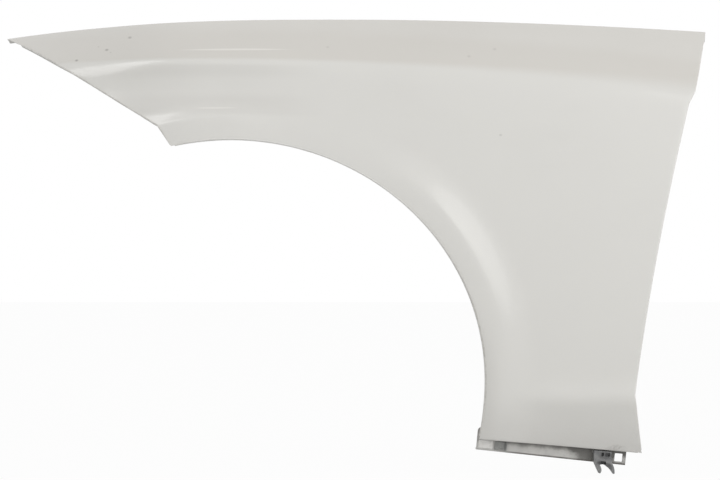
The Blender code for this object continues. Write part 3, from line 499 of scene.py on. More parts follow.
def blended(low, high, left, right, rows):
    """A grid between four edges: low-to-high plus left-to-right, less the corners' blend.

    rows holds the share of the way up, for each row and column.
    """
    across = np.linspace(0, 1, len(low))[None, :, None]
    up = rows[..., None]
    corners = lerp(lerp(low[0], low[-1], across), lerp(high[0], high[-1], across), up)
    return lerp(low[None], high[None], up) + lerp(left[:, None], right[:, None], across) - corners


def skin_grids():
    """The three grids of x and h: border, side and band."""
    angles, outer = fan_curves()
    line = border_line(angles)
    border = lerp(arch_point(angles)[None], line[None], BORDER_ROWS[:, None, None])
    rearward = ease(np.linspace(0, 1, len(angles)) / ROWS_CHANGE_SHARE)
    rows = lerp(SIDE_ROWS_FRONT[:, None], SIDE_ROWS_REAR[:, None], rearward)
    front = headlight_point(SHOULDER_START * rows[:, 0])
    side = blended(line, outer, front, lerp(line[-1], FOOT_REAR, rows[:, -1:]), rows)
    x = lerp(-TIP_AHEAD, REAR_TOP_BACK, TOP_SHARES)
    top = np.stack([x, top_height(x)], axis=-1)
    front = headlight_point(lerp(SHOULDER_START, 1.0, BAND_ROWS))
    rear = lerp(SHOULDER_REAR, REAR_TOP, BAND_ROWS[:, None])
    rows = np.repeat(BAND_ROWS[:, None], TOP_COLUMNS + 1, axis=1)
    return border, side, blended(outer[:TOP_COLUMNS + 1], top, front, rear, rows)


border, side, band = skin_grids()
print("border", border.shape, "side", side.shape, "band", band.shape)

# %% [markdown]
# ## Flanges
# Along its outer edges the sheet turns in, which stiffens the panel and gives it something to be
# fixed by. A flange is a profile carried along an edge: a bend that leaves the skin in the skin's
# own direction and arrives in the wall's, then a flat wall. The bend is a curve with its handle
# on the outline, so the panel's outline stays where it was drawn. Near the corners the flanges
# stop short, as pressed flanges do, because steel can't turn in along both edges of a corner.

# %% Sizes of the flanges
SHEET = 0.0008
BEND = 0.0023
BEND_END = 0.40
BEND_END_RUN = 0.014
ARCH_LIP = 0.019
LIP_END_RUN = 0.060
LIP_END_SHARE = 0.5
BEND_STEPS = 6
WALL_STEPS = 4
DOOR_FLANGE = 0.017
HEADLIGHT_FLANGE = 0.013
BUMPER_FLANGE = 0.018
SILL_FLANGE = 0.0130
FRONT_STRAIGHT = 0.78
EAR_REACH = 0.030
EAR_CORNER = 0.007
EAR_HALF = 4
EAR_MIDDLES = (FOOT_COLUMNS + 3, FOOT_COLUMNS + 43)
INBOARD = np.array([0.0, 1.0, 0.0])


# %% A flange along an edge
def edge_frame(edge, straight=1.0):
    """Along the edge, into the panel on the skin, and down the wall, as unit rows.

    The edge runs anticlockwise seen from outside, so its normal in the plane is (-t_h, t_x). The
    wall's way is a blend of the skin's own inward normal and straight inboard.
    """
    along = unit(np.gradient(on_skin(edge), axis=0))
    flat = unit(np.gradient(edge, axis=0))
    normal = np.stack([-flat[:, 1], flat[:, 0]], axis=-1)
    slope_x, slope_h = slopes(edge)
    rise = slope_x * normal[:, 0] + slope_h * normal[:, 1]
    into = np.stack([normal[:, 0], rise, normal[:, 1]], axis=-1)
    into = unit(into - along * np.sum(into * along, axis=-1, keepdims=True))
    inward = unit(np.stack([-slope_x, np.ones_like(slope_x), -slope_h], axis=-1))
    wall = unit(lerp(inward, INBOARD, straight))
    return along, into, wall


def run_along(points):
    """Length from the first point to each point."""
    step = np.linalg.norm(np.diff(points, axis=0), axis=-1)
    return np.concatenate([[0.0], np.cumsum(step)])


def flange(edge, reach, straight=1.0):
    """Rows from the free edge up to the skin: corner + depth * wall, then the bend's curve.

    The bend is corner + size * (u^2 * into + (1 - u)^2 * wall) for u from 0 to 1, and its size
    tightens towards both ends of the flange.
    """
    _, into, wall = edge_frame(edge, straight)
    corner = on_skin(edge)
    run = run_along(corner)
    size = BEND * lerp(BEND_END, 1.0, ease(np.minimum(run, run[-1] - run) / BEND_END_RUN))
    depth = np.linspace(1, 0, WALL_STEPS, endpoint=False)[:, None] * (reach - size) + size
    down = corner[None] + depth[..., None] * wall[None]
    u = np.linspace(0, 1, BEND_STEPS + 1)[:, None]
    bend = (u * u * size)[..., None] * into[None] + ((1 - u) ** 2 * size)[..., None] * wall[None]
    return np.concatenate([down, corner[None] + bend])


# %% The five flanges that turn in from the skin
HALF = int(np.argmin(abs(BAND_ROWS - FLANGE_STOP_SHARE)))
skin_border, skin_side, skin_band = on_skin(border), on_skin(side), on_skin(band)

run = run_along(on_skin(border[0]))
from_end = np.minimum(run, run[-1] - run)
reach = ARCH_LIP * lerp(LIP_END_SHARE, 1.0, ease(from_end / LIP_END_RUN))
arch_flange = flange(border[0, 1:-1], reach[1:-1])
skin_border[0, 1:-1] = arch_flange[-1]

foot_edge = np.concatenate([border[1:, -1], side[1:-1, -1]])
foot_flange = flange(foot_edge, np.full(len(foot_edge), SILL_FLANGE))
skin_border[1:, -1] = foot_flange[-1, :len(border) - 1]
skin_side[1:-1, -1] = foot_flange[-1, len(border) - 1:]

rear_edge = np.concatenate([side[-1, TOP_COLUMNS:-1][::-1], band[1:HALF + 1, -1]])
rear_flange = flange(rear_edge, np.full(len(rear_edge), DOOR_FLANGE))
count = side.shape[1] - TOP_COLUMNS - 1
skin_side[-1, TOP_COLUMNS:-1] = rear_flange[-1, :count][::-1]
skin_band[1:HALF + 1, -1] = rear_flange[-1, count:]

front_edge = np.concatenate([band[HALF:0:-1, 0], side[:0:-1, 0], border[:0:-1, 0]])
front_reach = np.full(len(front_edge), HEADLIGHT_FLANGE)
front_reach[-(len(border) - 1):] = BUMPER_FLANGE
front_flange = flange(front_edge, front_reach, FRONT_STRAIGHT)
skin_band[HALF:0:-1, 0] = front_flange[-1, :HALF]
skin_side[:0:-1, 0] = front_flange[-1, HALF:HALF + len(side) - 1]
skin_border[:0:-1, 0] = front_flange[-1, HALF + len(side) - 1:]

for skin, drawn, row, column, beside, inner in (
        (skin_border, border, 0, 0, 1, 1), (skin_border, border, 0, -1, -2, 1),
        (skin_side, side, -1, -1, -2, -2)):
    one = skin[row, beside] - on_skin(drawn[row, beside])
    other = skin[inner, column] - on_skin(drawn[inner, column])
    skin[row, column] += (one + other) / 2
skin_side[0] = skin_border[-1]
skin_band[0] = skin_side[-1, :TOP_COLUMNS + 1]
print("flange rows and columns:", arch_flange.shape[:2], foot_flange.shape[:2],
      rear_flange.shape[:2], front_flange.shape[:2])


# %% The two ears on the door flange
def ear(middle):
    """The wall carried on inboard; near its ends it is shorter by r - sqrt(r^2 - (r - d)^2)."""
    root = rear_flange[0, middle - EAR_HALF:middle + EAR_HALF + 1]
    fine = np.linspace(0, 1, 33)
    stations = np.linspace(0, 1, len(root))
    root = np.stack([np.interp(fine, stations, root[:, axis]) for axis in range(3)], axis=-1)
    run = run_along(root)
    past = np.clip(EAR_CORNER - np.minimum(run, run[-1] - run), 0, EAR_CORNER)
    reach = EAR_REACH - EAR_CORNER + np.sqrt(EAR_CORNER ** 2 - past ** 2)
    share = np.linspace(1, 0, 7)[:, None, None]
    return root[None] + share * reach[None, :, None] * INBOARD


ears = [ear(middle) for middle in EAR_MIDDLES]

# %% [markdown]
# ## The bonnet edge
# Beside the bonnet the sheet turns over and drops to a level ledge, which is bolted to the inner
# wing. The fold over the top is an arc that starts in the skin's own lean and ends straight
# down, so its start moves with the lean.

# %% Sizes of the bonnet edge
TOP_ARC = 0.0013
LEDGE_BEND = 0.0022
WALL_FOOT = 0.0056
LEDGE_WIDTH = 0.034
WALL_START_AHEAD = 0.324
WALL_DEEPENS_RUN = 0.040
LEDGE_FRONT_AHEAD = 0.284
LEDGE_FULL_AHEAD = 0.214
WALL_TIP_HEIGHT = 0.0055


# %% The wall and the ledge
def bonnet_frame(edge):
    """The edge on the skin, and the level way in that is square to it."""
    top = on_skin(edge)
    along = np.gradient(top, axis=0)
    return top, unit(np.stack([-along[:, 1], along[:, 0], np.zeros(len(top))], axis=-1))


def bonnet_edge(edge):
    """Rows of inboard and down steps from the edge: an arc, a wall, a bend and the ledge.

    With lean L the arc's middle lies r (1 - sin L) / cos L inboard and r down, and it runs from
    the angle L - 90 degrees to 90. The bend is a curve with its handle on the wall's foot.
    """
    top, across = bonnet_frame(edge)
    slope_x, slope_h = slopes(edge)
    lean = np.arctan(slope_h / np.sqrt(1 + slope_x ** 2))
    turn = lerp(lean - math.pi / 2, math.pi / 2, np.linspace(0, 1, 9)[:, None])
    middle = TOP_ARC * (1 - np.sin(lean)) / np.cos(lean)
    arc = np.stack([middle + TOP_ARC * np.sin(turn), TOP_ARC - TOP_ARC * np.cos(turn)], axis=-1)
    x = edge[:, 0]
    drop = lerp(WALL_TIP_HEIGHT, top[:, 2] - SHEET, ease((x + WALL_START_AHEAD) / WALL_DEEPENS_RUN))
    width = lerp(LEDGE_BEND, LEDGE_WIDTH, between(x, (-LEDGE_FRONT_AHEAD, -LEDGE_FULL_AHEAD)))
    foot = np.full(len(x), WALL_FOOT - LEDGE_BEND / 2)
    corner = np.stack([foot, drop], axis=-1)
    wall_end = corner - np.stack([0 * x, np.full(len(x), LEDGE_BEND)], axis=-1)
    wall = lerp(arc[-1][None], wall_end[None], np.linspace(0, 1, 9)[1:-1, None, None])
    u = np.linspace(0, 1, 7)[:, None]
    bend_in, bend_up = u * u * LEDGE_BEND, (1 - u) ** 2 * LEDGE_BEND
    bend = np.stack([foot + bend_in, drop - bend_up], axis=-1)
    ledge_end = np.stack([WALL_FOOT + width, drop], axis=-1)
    ledge = lerp(bend[-1][None], ledge_end[None], np.linspace(0, 1, 9)[1:, None, None])
    steps = np.concatenate([arc, wall, bend, ledge])
    down = np.array([0.0, 0.0, -1.0])
    return top[None] + steps[..., :1] * across[None] + steps[..., 1:] * down


ledge_rows = bonnet_edge(band[-1])
skin_band[-1] = ledge_rows[0]
print("the ledge reaches y =", round(float(ledge_rows[..., 1].max()), 4))

# %% [markdown]
# ## The panel as one sheet
# All the patches are joined on their shared rows, and Solidify gives the sheet its eight tenths
# of a millimetre behind the face that was drawn. It has four material slots: the outside and its
# back, and the turned edges of arch and front with theirs. The holes are cut from the finished
# sheet by prisms, which is how a press punches them.


# %% Prisms for punching holes
def circle(radius, steps=40):
    """Points at (r cos a, r sin a)."""
    turn = np.arange(steps) * 2 * math.pi / steps
    return radius * np.stack([np.cos(turn), np.sin(turn)], axis=-1)


def slot(radius, length, steps=16):
    """Two half circles, moved apart by the length less two radii."""
    turn = np.linspace(-math.pi / 2, math.pi / 2, steps + 1)
    end = radius * np.stack([np.cos(turn), np.sin(turn)], axis=-1)
    shift = np.array([length / 2 - radius, 0.0])
    return np.concatenate([end + shift, -end - shift])


def rounded_square(width, height, corner, steps=6):
    """Four quarter circles of the corner's radius at the corners of a smaller rectangle."""
    turn = np.linspace(0, math.pi / 2, steps + 1)
    quarters = np.concatenate([turn + side * math.pi / 2 for side in range(4)])
    signs = np.repeat(np.array([[1, 1], [-1, 1], [-1, -1], [1, -1]]), steps + 1, axis=0)
    inner = signs * np.array([width / 2 - corner, height / 2 - corner])
    return inner + corner * np.stack([np.cos(quarters), np.sin(quarters)], axis=-1)


def prism(bm, outline, centre, first, second, ahead=0.006, behind=0.006):
    """A closed prism: centre + a * first + b * second, from -behind to +ahead along their cross."""
    first = unit(first)
    second = unit(second - first * np.dot(first, second))
    through = np.cross(first, second)
    flat = centre + outline[:, :1] * first + outline[:, 1:] * second
    low = [bm.verts.new(point) for point in flat - through * behind]
    high = [bm.verts.new(point) for point in flat + through * ahead]
    bm.faces.new(low[::-1])
    bm.faces.new(high)
    for a, b, c, d in zip(low, low[1:] + low[:1], high[1:] + high[:1], high):
        bm.faces.new((a, b, c, d))


def punch(thing, bm):
    """Cut the solids of a bmesh out of a piece, then throw them away."""
    mesh = bpy.data.meshes.new("punch")
    bm.to_mesh(mesh)
    bm.free()
    tool = add_object("punch", mesh)
    boolean = thing.modifiers.new("punched", "BOOLEAN")
    boolean.operation = "DIFFERENCE"
    boolean.solver = "MANIFOLD"
    boolean.object = tool
    graph = bpy.context.evaluated_depsgraph_get()
    before = len(thing.data.polygons)
    thing.data = bpy.data.meshes.new_from_object(thing.evaluated_get(graph))
    thing.modifiers.clear()
    bpy.data.objects.remove(tool)
    print(thing.name, "went from", before, "to", len(thing.data.polygons), "faces")


# %% The panel's sheet
SHARP_DEG = 35.0
BRACKET_SHARP_DEG = 40.0
panel = sheet_mesh("fender_skin", [
    skin_border, skin_side, skin_band, arch_flange, front_flange, foot_flange, rear_flange,
    *ears, ledge_rows], [0, 0, 0, 2, 2, 0, 0, 0, 0, 0])
print("open sheet:", len(panel.data.vertices), "points,", len(panel.data.polygons), "faces")
wall = panel.modifiers.new("sheet", "SOLIDIFY")
wall.thickness = SHEET
wall.offset = -1.0
wall.use_even_offset = True
wall.use_quality_normals = True
wall.material_offset = 1
wall.material_offset_rim = 1
for _ in range(4):
    panel.data.materials.append(None)
settle(panel, SHARP_DEG)

# %% [markdown]
# ## Holes in the panel
# Five slots in the ledge take the bolts to the inner wing, small round holes in the arch's lip
# take the wheel liner's screws, each ear has a hole for a bolt to the door pillar, and a square
# one holds the bumper's clip. None of them shows in the picture. They are placed from the same
# edge formulas as the flanges, so they stay in the middle of their walls.

# %% Holes in the panel
NEIGHBOURS = np.array([-1.0, 0.0, 1.0])
LEDGE_SLOTS_BACK = [-0.226, *np.linspace(-0.022, 0.5916, 4)]
LEDGE_SLOT_RADIUS, LEDGE_SLOT_LENGTH, LEDGE_SLOT_INBOARD = 0.0045, 0.015, 0.018
LIP_HOLES_DEG = (94.0, 72.0, 50.0, 28.0, 7.0)
LIP_HOLE_RADIUS, LIP_HOLE_DEPTH, LIP_HOLE_STEP = 0.0038, 0.011, 0.0106
EAR_HOLE_RADIUS = 0.0055
BUMPER_HOLE_SIDE, BUMPER_HOLE_CORNER, BUMPER_HOLE_SHARE = 0.009, 0.001, 0.58

holes = bmesh.new()
for x in LEDGE_SLOTS_BACK:
    near = x + NEIGHBOURS * LEDGE_SLOT_RADIUS
    top, across = bonnet_frame(np.stack([near, top_height(near)], axis=-1))
    centre = top[1] + across[1] * (WALL_FOOT + LEDGE_SLOT_INBOARD)
    centre[2] = 0.0
    along_ledge = np.array([across[1][1], -across[1][0], 0.0])
    prism(holes, slot(LEDGE_SLOT_RADIUS, LEDGE_SLOT_LENGTH), centre, along_ledge, across[1])
for degrees in LIP_HOLES_DEG:
    edge = arch_point(math.radians(degrees) - NEIGHBOURS * LIP_HOLE_STEP)
    along, _, wall = edge_frame(edge)
    centre = on_skin(edge)[1] + wall[1] * LIP_HOLE_DEPTH
    prism(holes, circle(LIP_HOLE_RADIUS), centre, along[1], wall[1])
rear_along, _, rear_wall = edge_frame(rear_edge)
for middle in EAR_MIDDLES:
    centre = on_skin(rear_edge)[middle] + rear_wall[middle] * (DOOR_FLANGE + EAR_REACH / 2)
    prism(holes, circle(EAR_HOLE_RADIUS), centre, rear_along[middle], rear_wall[middle])
middle = (BUMPER_TOP + ARCH_FRONT) / 2
half = unit(ARCH_FRONT - BUMPER_TOP) * BUMPER_HOLE_SIDE / 2
edge = np.stack([middle - half, middle, middle + half])
along, _, wall = edge_frame(edge, FRONT_STRAIGHT)
centre = on_skin(edge)[1] + wall[1] * BUMPER_FLANGE * BUMPER_HOLE_SHARE
square = rounded_square(BUMPER_HOLE_SIDE, BUMPER_HOLE_SIDE, BUMPER_HOLE_CORNER)
prism(holes, square, centre, along[1], wall[1])
punch(panel, holes)
settle(panel, SHARP_DEG)
keep_inside(panel, CAD_BOX)

# %% [markdown]
# ## The lower bracket
# A strip of thicker sheet is folded to a Z: a foot that is bolted to the sill, a web, and a leg
# spot-welded to the panel's own flange. At its front end the web goes on up as an ear, and the
# leg starts behind it, past a small relief in the fold. A profile carried along the strip gives
# foot, bend and web in one patch, and the ear and the leg are two more on the same columns.

# %% Frame and sizes of the bracket
BRACKET_SHEET = 0.0012
BRACKET_BEND = 0.0028
SETBACK = 0.0175
FOOT_WIDTH = 0.020
LEG_WIDTH = 0.011
SEAT = 0.0011
EAR_WIDTH = 0.028
EAR_TOP = 0.0156
EAR_ROUND = 0.0045
LEG_START = 0.0305
WEB_DROP_FRONT = 0.0165
WEB_DROP_REAR = 0.0206
WELD_START = 0.048
WELD_PITCH = 0.030
WELD_HEIGHT = 0.00045
WELD_OUT = 0.0068
WELD_RADIUS = 0.0022
bracket_ends = np.array([0.3483, 0.5636])
foot_share = (bracket_ends - ARCH_FOOT[0]) / (FOOT_REAR[0] - ARCH_FOOT[0])
foot_height = lerp(ARCH_FOOT[1], FOOT_REAR[1], foot_share)
bracket_front, bracket_rear = on_skin(np.stack([bracket_ends, foot_height], axis=-1))
LENGTH = float(np.linalg.norm(bracket_rear - bracket_front))
ALONG = (bracket_rear - bracket_front) / LENGTH
UPWARD = unit(np.array([-ALONG[2], 0.0, ALONG[0]]))
WEB_OUT = unit(np.cross(ALONG, UPWARD))


def at_bracket(along, inboard, up):
    """front + along * ALONG + inboard * Y + up * UPWARD, for numbers or arrays."""
    along, inboard, up = (np.asarray(v, dtype=float)[..., None] for v in (along, inboard, up))
    return bracket_front + ALONG * along + INBOARD * inboard + UPWARD * up


print("bracket", round(1000 * LENGTH, 1), "mm long")

# %% The bracket's three patches
columns = refined(
    [0.0, EAR_ROUND, EAR_WIDTH - EAR_ROUND, EAR_WIDTH, LEG_START, LENGTH], [6, 12, 6, 2, 124])
LAST_EAR_COLUMN, FIRST_LEG_COLUMN = 24, 26
drop = lerp(WEB_DROP_FRONT, WEB_DROP_REAR, columns / LENGTH)
u = np.linspace(0, 1, 7)[:, None]
in_bend, up_bend = (1 - u) ** 2 * BRACKET_BEND, u * u * BRACKET_BEND
foot_in = np.linspace(1, 0, 9)[:-1, None] * (FOOT_WIDTH - BRACKET_BEND) + BRACKET_BEND
web_up = np.linspace(0, 1, 11)[1:, None] * (SEAT - 2 * BRACKET_BEND + drop) + BRACKET_BEND - drop
strip = np.concatenate([
    at_bracket(columns + 0 * foot_in, SETBACK + foot_in, -drop + 0 * foot_in),
    at_bracket(columns + 0 * u, SETBACK + in_bend, up_bend - drop),
    at_bracket(columns + 0 * web_up, SETBACK + 0 * web_up, web_up)])

ear_columns = columns[:LAST_EAR_COLUMN + 1]
past = np.clip(EAR_ROUND - np.minimum(ear_columns, EAR_WIDTH - ear_columns), 0, EAR_ROUND)
ear_top = EAR_TOP - EAR_ROUND + np.sqrt(EAR_ROUND ** 2 - past ** 2)
ear_up = lerp(SEAT - BRACKET_BEND, ear_top, np.linspace(0, 1, 9)[:, None])
bracket_ear = at_bracket(ear_columns + 0 * ear_up, SETBACK + 0 * ear_up, ear_up)

leg_columns = columns[FIRST_LEG_COLUMN:]
leg_out = np.linspace(0, 1, 13)[1:, None] * (LEG_WIDTH - BRACKET_BEND) + BRACKET_BEND
leg_bend = at_bracket(
    leg_columns + 0 * u, SETBACK - u * u * BRACKET_BEND, SEAT - (1 - u) ** 2 * BRACKET_BEND)
pitches = (leg_columns - WELD_START) / WELD_PITCH
weld = np.abs(pitches - np.round(pitches)) * WELD_PITCH
away = (weld ** 2 + (leg_out - WELD_OUT) ** 2) / WELD_RADIUS ** 2
dimple = WELD_HEIGHT * np.exp(-away ** 2)
leg = at_bracket(leg_columns + 0 * leg_out, SETBACK - leg_out, SEAT + dimple)

bracket = sheet_mesh("lower_bracket_sheet", [strip, bracket_ear, np.concatenate([leg_bend, leg])])
wall = bracket.modifiers.new("sheet", "SOLIDIFY")
wall.thickness = BRACKET_SHEET
wall.offset = -1.0
wall.use_even_offset = True
settle(bracket, BRACKET_SHARP_DEG)

# %% [markdown]
# ## Holes in the bracket
# Nut and clip each sit in a square hole of the web, and a third square hole is empty, which is the
# light square beside the clip in the picture. Two slots in the foot take the bolts to the sill.

# %% Holes in the bracket
NUT_ALONG, NUT_DROP = 0.0350, 0.0082
CLIP_ALONG, SHANK_DROP = LENGTH - 0.0303, 0.0085
EMPTY_ALONG, EMPTY_DROP = LENGTH - 0.0108, 0.0102
NUT_HOLE, CLIP_HOLE, EMPTY_HOLE, HOLE_CORNER = 0.0104, 0.0086, 0.0115, 0.0009
FOOT_SLOT_RADIUS, FOOT_SLOT_LENGTH, FOOT_SLOT_INSET = 0.0037, 0.013, 0.011
FOOT_SLOT_SHARES = (0.20, 0.66)

holes = bmesh.new()
for along, hole_drop, size in (
        (NUT_ALONG, NUT_DROP, NUT_HOLE), (CLIP_ALONG, SHANK_DROP, CLIP_HOLE),
        (EMPTY_ALONG, EMPTY_DROP, EMPTY_HOLE)):
    centre = at_bracket(along, SETBACK, -hole_drop)
    prism(holes, rounded_square(size, size, HOLE_CORNER), centre, ALONG, UPWARD)
for share in FOOT_SLOT_SHARES:
    foot_drop = lerp(WEB_DROP_FRONT, WEB_DROP_REAR, share)
    centre = at_bracket(share * LENGTH, SETBACK + FOOT_SLOT_INSET, -foot_drop)
    prism(holes, slot(FOOT_SLOT_RADIUS, FOOT_SLOT_LENGTH), centre, ALONG, INBOARD)
punch(bracket, holes)
settle(bracket, BRACKET_SHARP_DEG)

# %% [markdown]
# ## Plug nut
# Nut and clip are moulded plastic, and both are rings carried along an axis. The nut's rings are
# rounded squares of changing size: a head and a barbed body, with a screw bore cut from behind.


# %% Rings along an axis
WEB_GAP = 0.0003


def ring_mesh(name, rings):
    """A tube of rings, each a closed row of points, with the end rings filled as faces."""
    count, corners = rings.shape[:2]
    corner = np.arange(count - 1)[:, None] * corners
    here, after = np.arange(corners), (np.arange(corners) + 1) % corners
    above = corner + corners
    faces = np.stack([corner + here, corner + after, above + after, above + here], axis=-1)
    faces = faces.reshape(-1, 4).tolist()
    faces.append(list(range(corners))[::-1])
    faces.append(list(range((count - 1) * corners, count * corners)))
    mesh = bpy.data.meshes.new(name)
    mesh.from_pydata(rings.reshape(-1, 3), [], faces)
    return add_object(name, mesh)


def on_web(along, drop, flat, proud, gap=WEB_GAP):
    """Points of a drawing on the web's outer face, all at one height off it."""
    seat = at_bracket(along, SETBACK, -drop) + WEB_OUT * gap
    return seat + flat[..., :1] * ALONG + flat[..., 1:] * UPWARD + proud * WEB_OUT


# %% The plug nut
# Its bore ends just under the face, in a skin that the first screw pierces.
# Each station: half width, half height, corner radius and distance off the web, in millimetres.
nut_stations = np.array([
    (2.3, 2.3, 0.4, -11.4), (4.0, 4.0, 0.8, -11.7), (4.4, 4.4, 0.9, -11.2), (4.6, 4.6, 0.8, -9.0),
    (4.9, 4.9, 0.8, -6.6), (4.9, 4.9, 0.8, -3.4), (4.6, 4.6, 0.8, -1.9), (4.6, 4.6, 0.8, 0.0),
    (8.4, 5.65, 1.2, 0.0), (8.8, 6.05, 1.5, 0.25), (9.0, 6.25, 1.6, 0.9), (8.95, 6.2, 1.6, 1.7),
    (8.7, 5.95, 1.5, 2.25), (8.2, 5.45, 1.3, 2.55), (4.6, 4.2, 1.2, 2.6), (4.2, 3.8, 1.0, 2.3),
    (3.9, 3.5, 0.9, 2.05)]) / 1000
rings = np.stack([
    on_web(NUT_ALONG, NUT_DROP, rounded_square(2 * w, 2 * h, r), proud)
    for w, h, r, proud in nut_stations])
nut = ring_mesh("plug_nut_moulding", rings)
BORE_RADIUS, BORE_STEPS, BORE_AHEAD, BORE_BEHIND = 0.0016, 24, 0.0014, 0.0130
bore = bmesh.new()
middle = on_web(NUT_ALONG, NUT_DROP, np.zeros(2), 0.0)
prism(bore, circle(BORE_RADIUS, BORE_STEPS), middle, ALONG, UPWARD, BORE_AHEAD, BORE_BEHIND)
punch(nut, bore)
settle(nut, SHARP_DEG)

# %% [markdown]
# ## The forked clip
# The clip's two prongs reach down and spring over the edge of the sill's trim. Its outline is a
# chain of curves, each with its two ends on the line and one handle off it, which gives the
# straight back, the pointed tips and the slanting arch between them. The outline is carried
# through the thickness, drawn in a little at both faces so that its edges come out rounded.
# Three shallow pockets give the dark marks that show in the picture.

# %% The forked clip
def curve(start, middle, end, steps):
    """Points of (1 - u)^2 start + 2u(1 - u) middle + u^2 end, without the last one."""
    u = np.linspace(0, 1, steps + 1)[:-1, None]
    start, middle, end = np.array(start), np.array(middle), np.array(end)
    return (1 - u) ** 2 * start + 2 * u * (1 - u) * middle + u * u * end


# Each curve: its start and its handle, as shares of width and height, and its number of steps.
CLIP_CURVE_SHARES = [
    ((-0.16, 0.0), (-0.15, 0.26), 7), ((-0.105, 0.52), (0.05, 0.77), 9),
    ((0.20, 1.00), (0.30, 1.06), 6), ((0.315, 0.86), (0.28, 0.72), 6),
    ((0.20, 0.64), (0.38, 0.55), 9), ((0.55, 0.675), (0.78, 0.79), 9),
    ((0.90, 0.95), (0.98, 1.05), 6), ((0.985, 0.92), (0.97, 0.76), 7),
    ((0.89, 0.63), (0.79, 0.46), 5), ((0.765, 0.36), (0.73, 0.16), 6),
    ((0.74, 0.0), (0.30, 0.0), 9)]
CLIP_WIDTH, CLIP_HEIGHT, CLIP_THICK, CLIP_ROUND = 0.0290, 0.0320, 0.0080, 0.0006
CLIP_TOP_DROP = 0.0020
clip_shares = np.concatenate([
    curve(start, handle, after[0], steps) for (start, handle, steps), after
    in zip(CLIP_CURVE_SHARES, CLIP_CURVE_SHARES[1:] + CLIP_CURVE_SHARES[:1])])
corner = np.array([CLIP_WIDTH / 2, CLIP_TOP_DROP])
outline = clip_shares * np.array([CLIP_WIDTH, -CLIP_HEIGHT]) - corner
tangent = unit(np.roll(outline, -1, axis=0) - np.roll(outline, 1, axis=0))
inward = np.stack([-tangent[:, 1], tangent[:, 0]], axis=-1)
turn = np.linspace(0, math.pi / 2, 5)
draw_in = CLIP_ROUND * np.concatenate([1 - np.sin(turn), 1 - np.cos(turn)])
proud = np.concatenate([
    CLIP_ROUND * (1 - np.cos(turn)), CLIP_THICK - CLIP_ROUND * (1 - np.sin(turn))])
rings = np.stack([
    on_web(CLIP_ALONG, 0.0, outline + inward * inset, out)
    for inset, out in zip(draw_in, proud)])
clip = ring_mesh("sill_trim_clip_moulding", rings)
# Each pocket: distance across and down, width and height.
POCKETS = ((-0.0062, 0.0071, 0.0036, 0.0056), (0.0012, 0.0071, 0.0070, 0.0050),
           (-0.0040, 0.0190, 0.0080, 0.0042))
POCKET_CORNER, POCKET_AHEAD, POCKET_DEPTH = 0.0010, 0.004, 0.0045
pocket = bmesh.new()
for across, down, width, height in POCKETS:
    middle = on_web(CLIP_ALONG, 0.0, np.array([across, -down]), CLIP_THICK)
    shape = rounded_square(width, height, POCKET_CORNER)
    prism(pocket, shape, middle, ALONG, UPWARD, POCKET_AHEAD, POCKET_DEPTH)
punch(clip, pocket)
settle(clip, SHARP_DEG)
keep_inside(clip, CAD_BOX)

# %% [markdown]
# ## The bare label
# A paper label sticks to the web's front end. It is a thin pillow: a rounded rectangle that
# lies on the paint at its edge and stands a little proud inside.

# %% The bare label
# Each station: half width, half height, corner radius and distance off the web, in millimetres.
label_stations = np.array([
    (10.4, 5.6, 1.2, 0.02), (10.4, 5.6, 1.2, 0.12), (10.2, 5.4, 1.1, 0.17),
    (5.0, 2.6, 0.8, 0.18)]) / 1000
LABEL_ALONG, LABEL_DROP = 0.0133, 0.0078
rings = np.stack([
    on_web(LABEL_ALONG, LABEL_DROP, rounded_square(2 * w, 2 * h, r), proud, 0.0)
    for w, h, r, proud in label_stations])
label = ring_mesh("bare_label", rings)
settle(label, SHARP_DEG)

# %% [markdown]
# ## Maths in the shader
# A pattern in a material is a formula too, but its sums are done by nodes. A small class holds a
# socket and turns Python's signs into Math nodes, so the formulas read as they do on paper. Every
# other node comes from one method, which takes the node's type, its settings and its sockets.


# %% Shader maths
class Value:
    """A number in the shader. Each sign adds the Math node of its name."""

    def __init__(self, finish, socket):
        self.finish, self.socket = finish, socket

    def math(self, operation, first, second=0.0):
        return self.finish.node("Math", {"operation": operation}, {0: first, 1: second})["Value"]

    def __add__(self, other):
        return self.math("ADD", self, other)

    def __sub__(self, other):
        return self.math("SUBTRACT", self, other)

    def __rsub__(self, other):
        return self.math("SUBTRACT", other, self)

    def __mul__(self, other):
        return self.math("MULTIPLY", self, other)

    def __truediv__(self, other):
        return self.math("DIVIDE", self, other)

    def __pow__(self, other):
        return self.math("POWER", self, other)

    def __abs__(self):
        return self.math("ABSOLUTE", self)

    __radd__ = __add__
    __rmul__ = __mul__


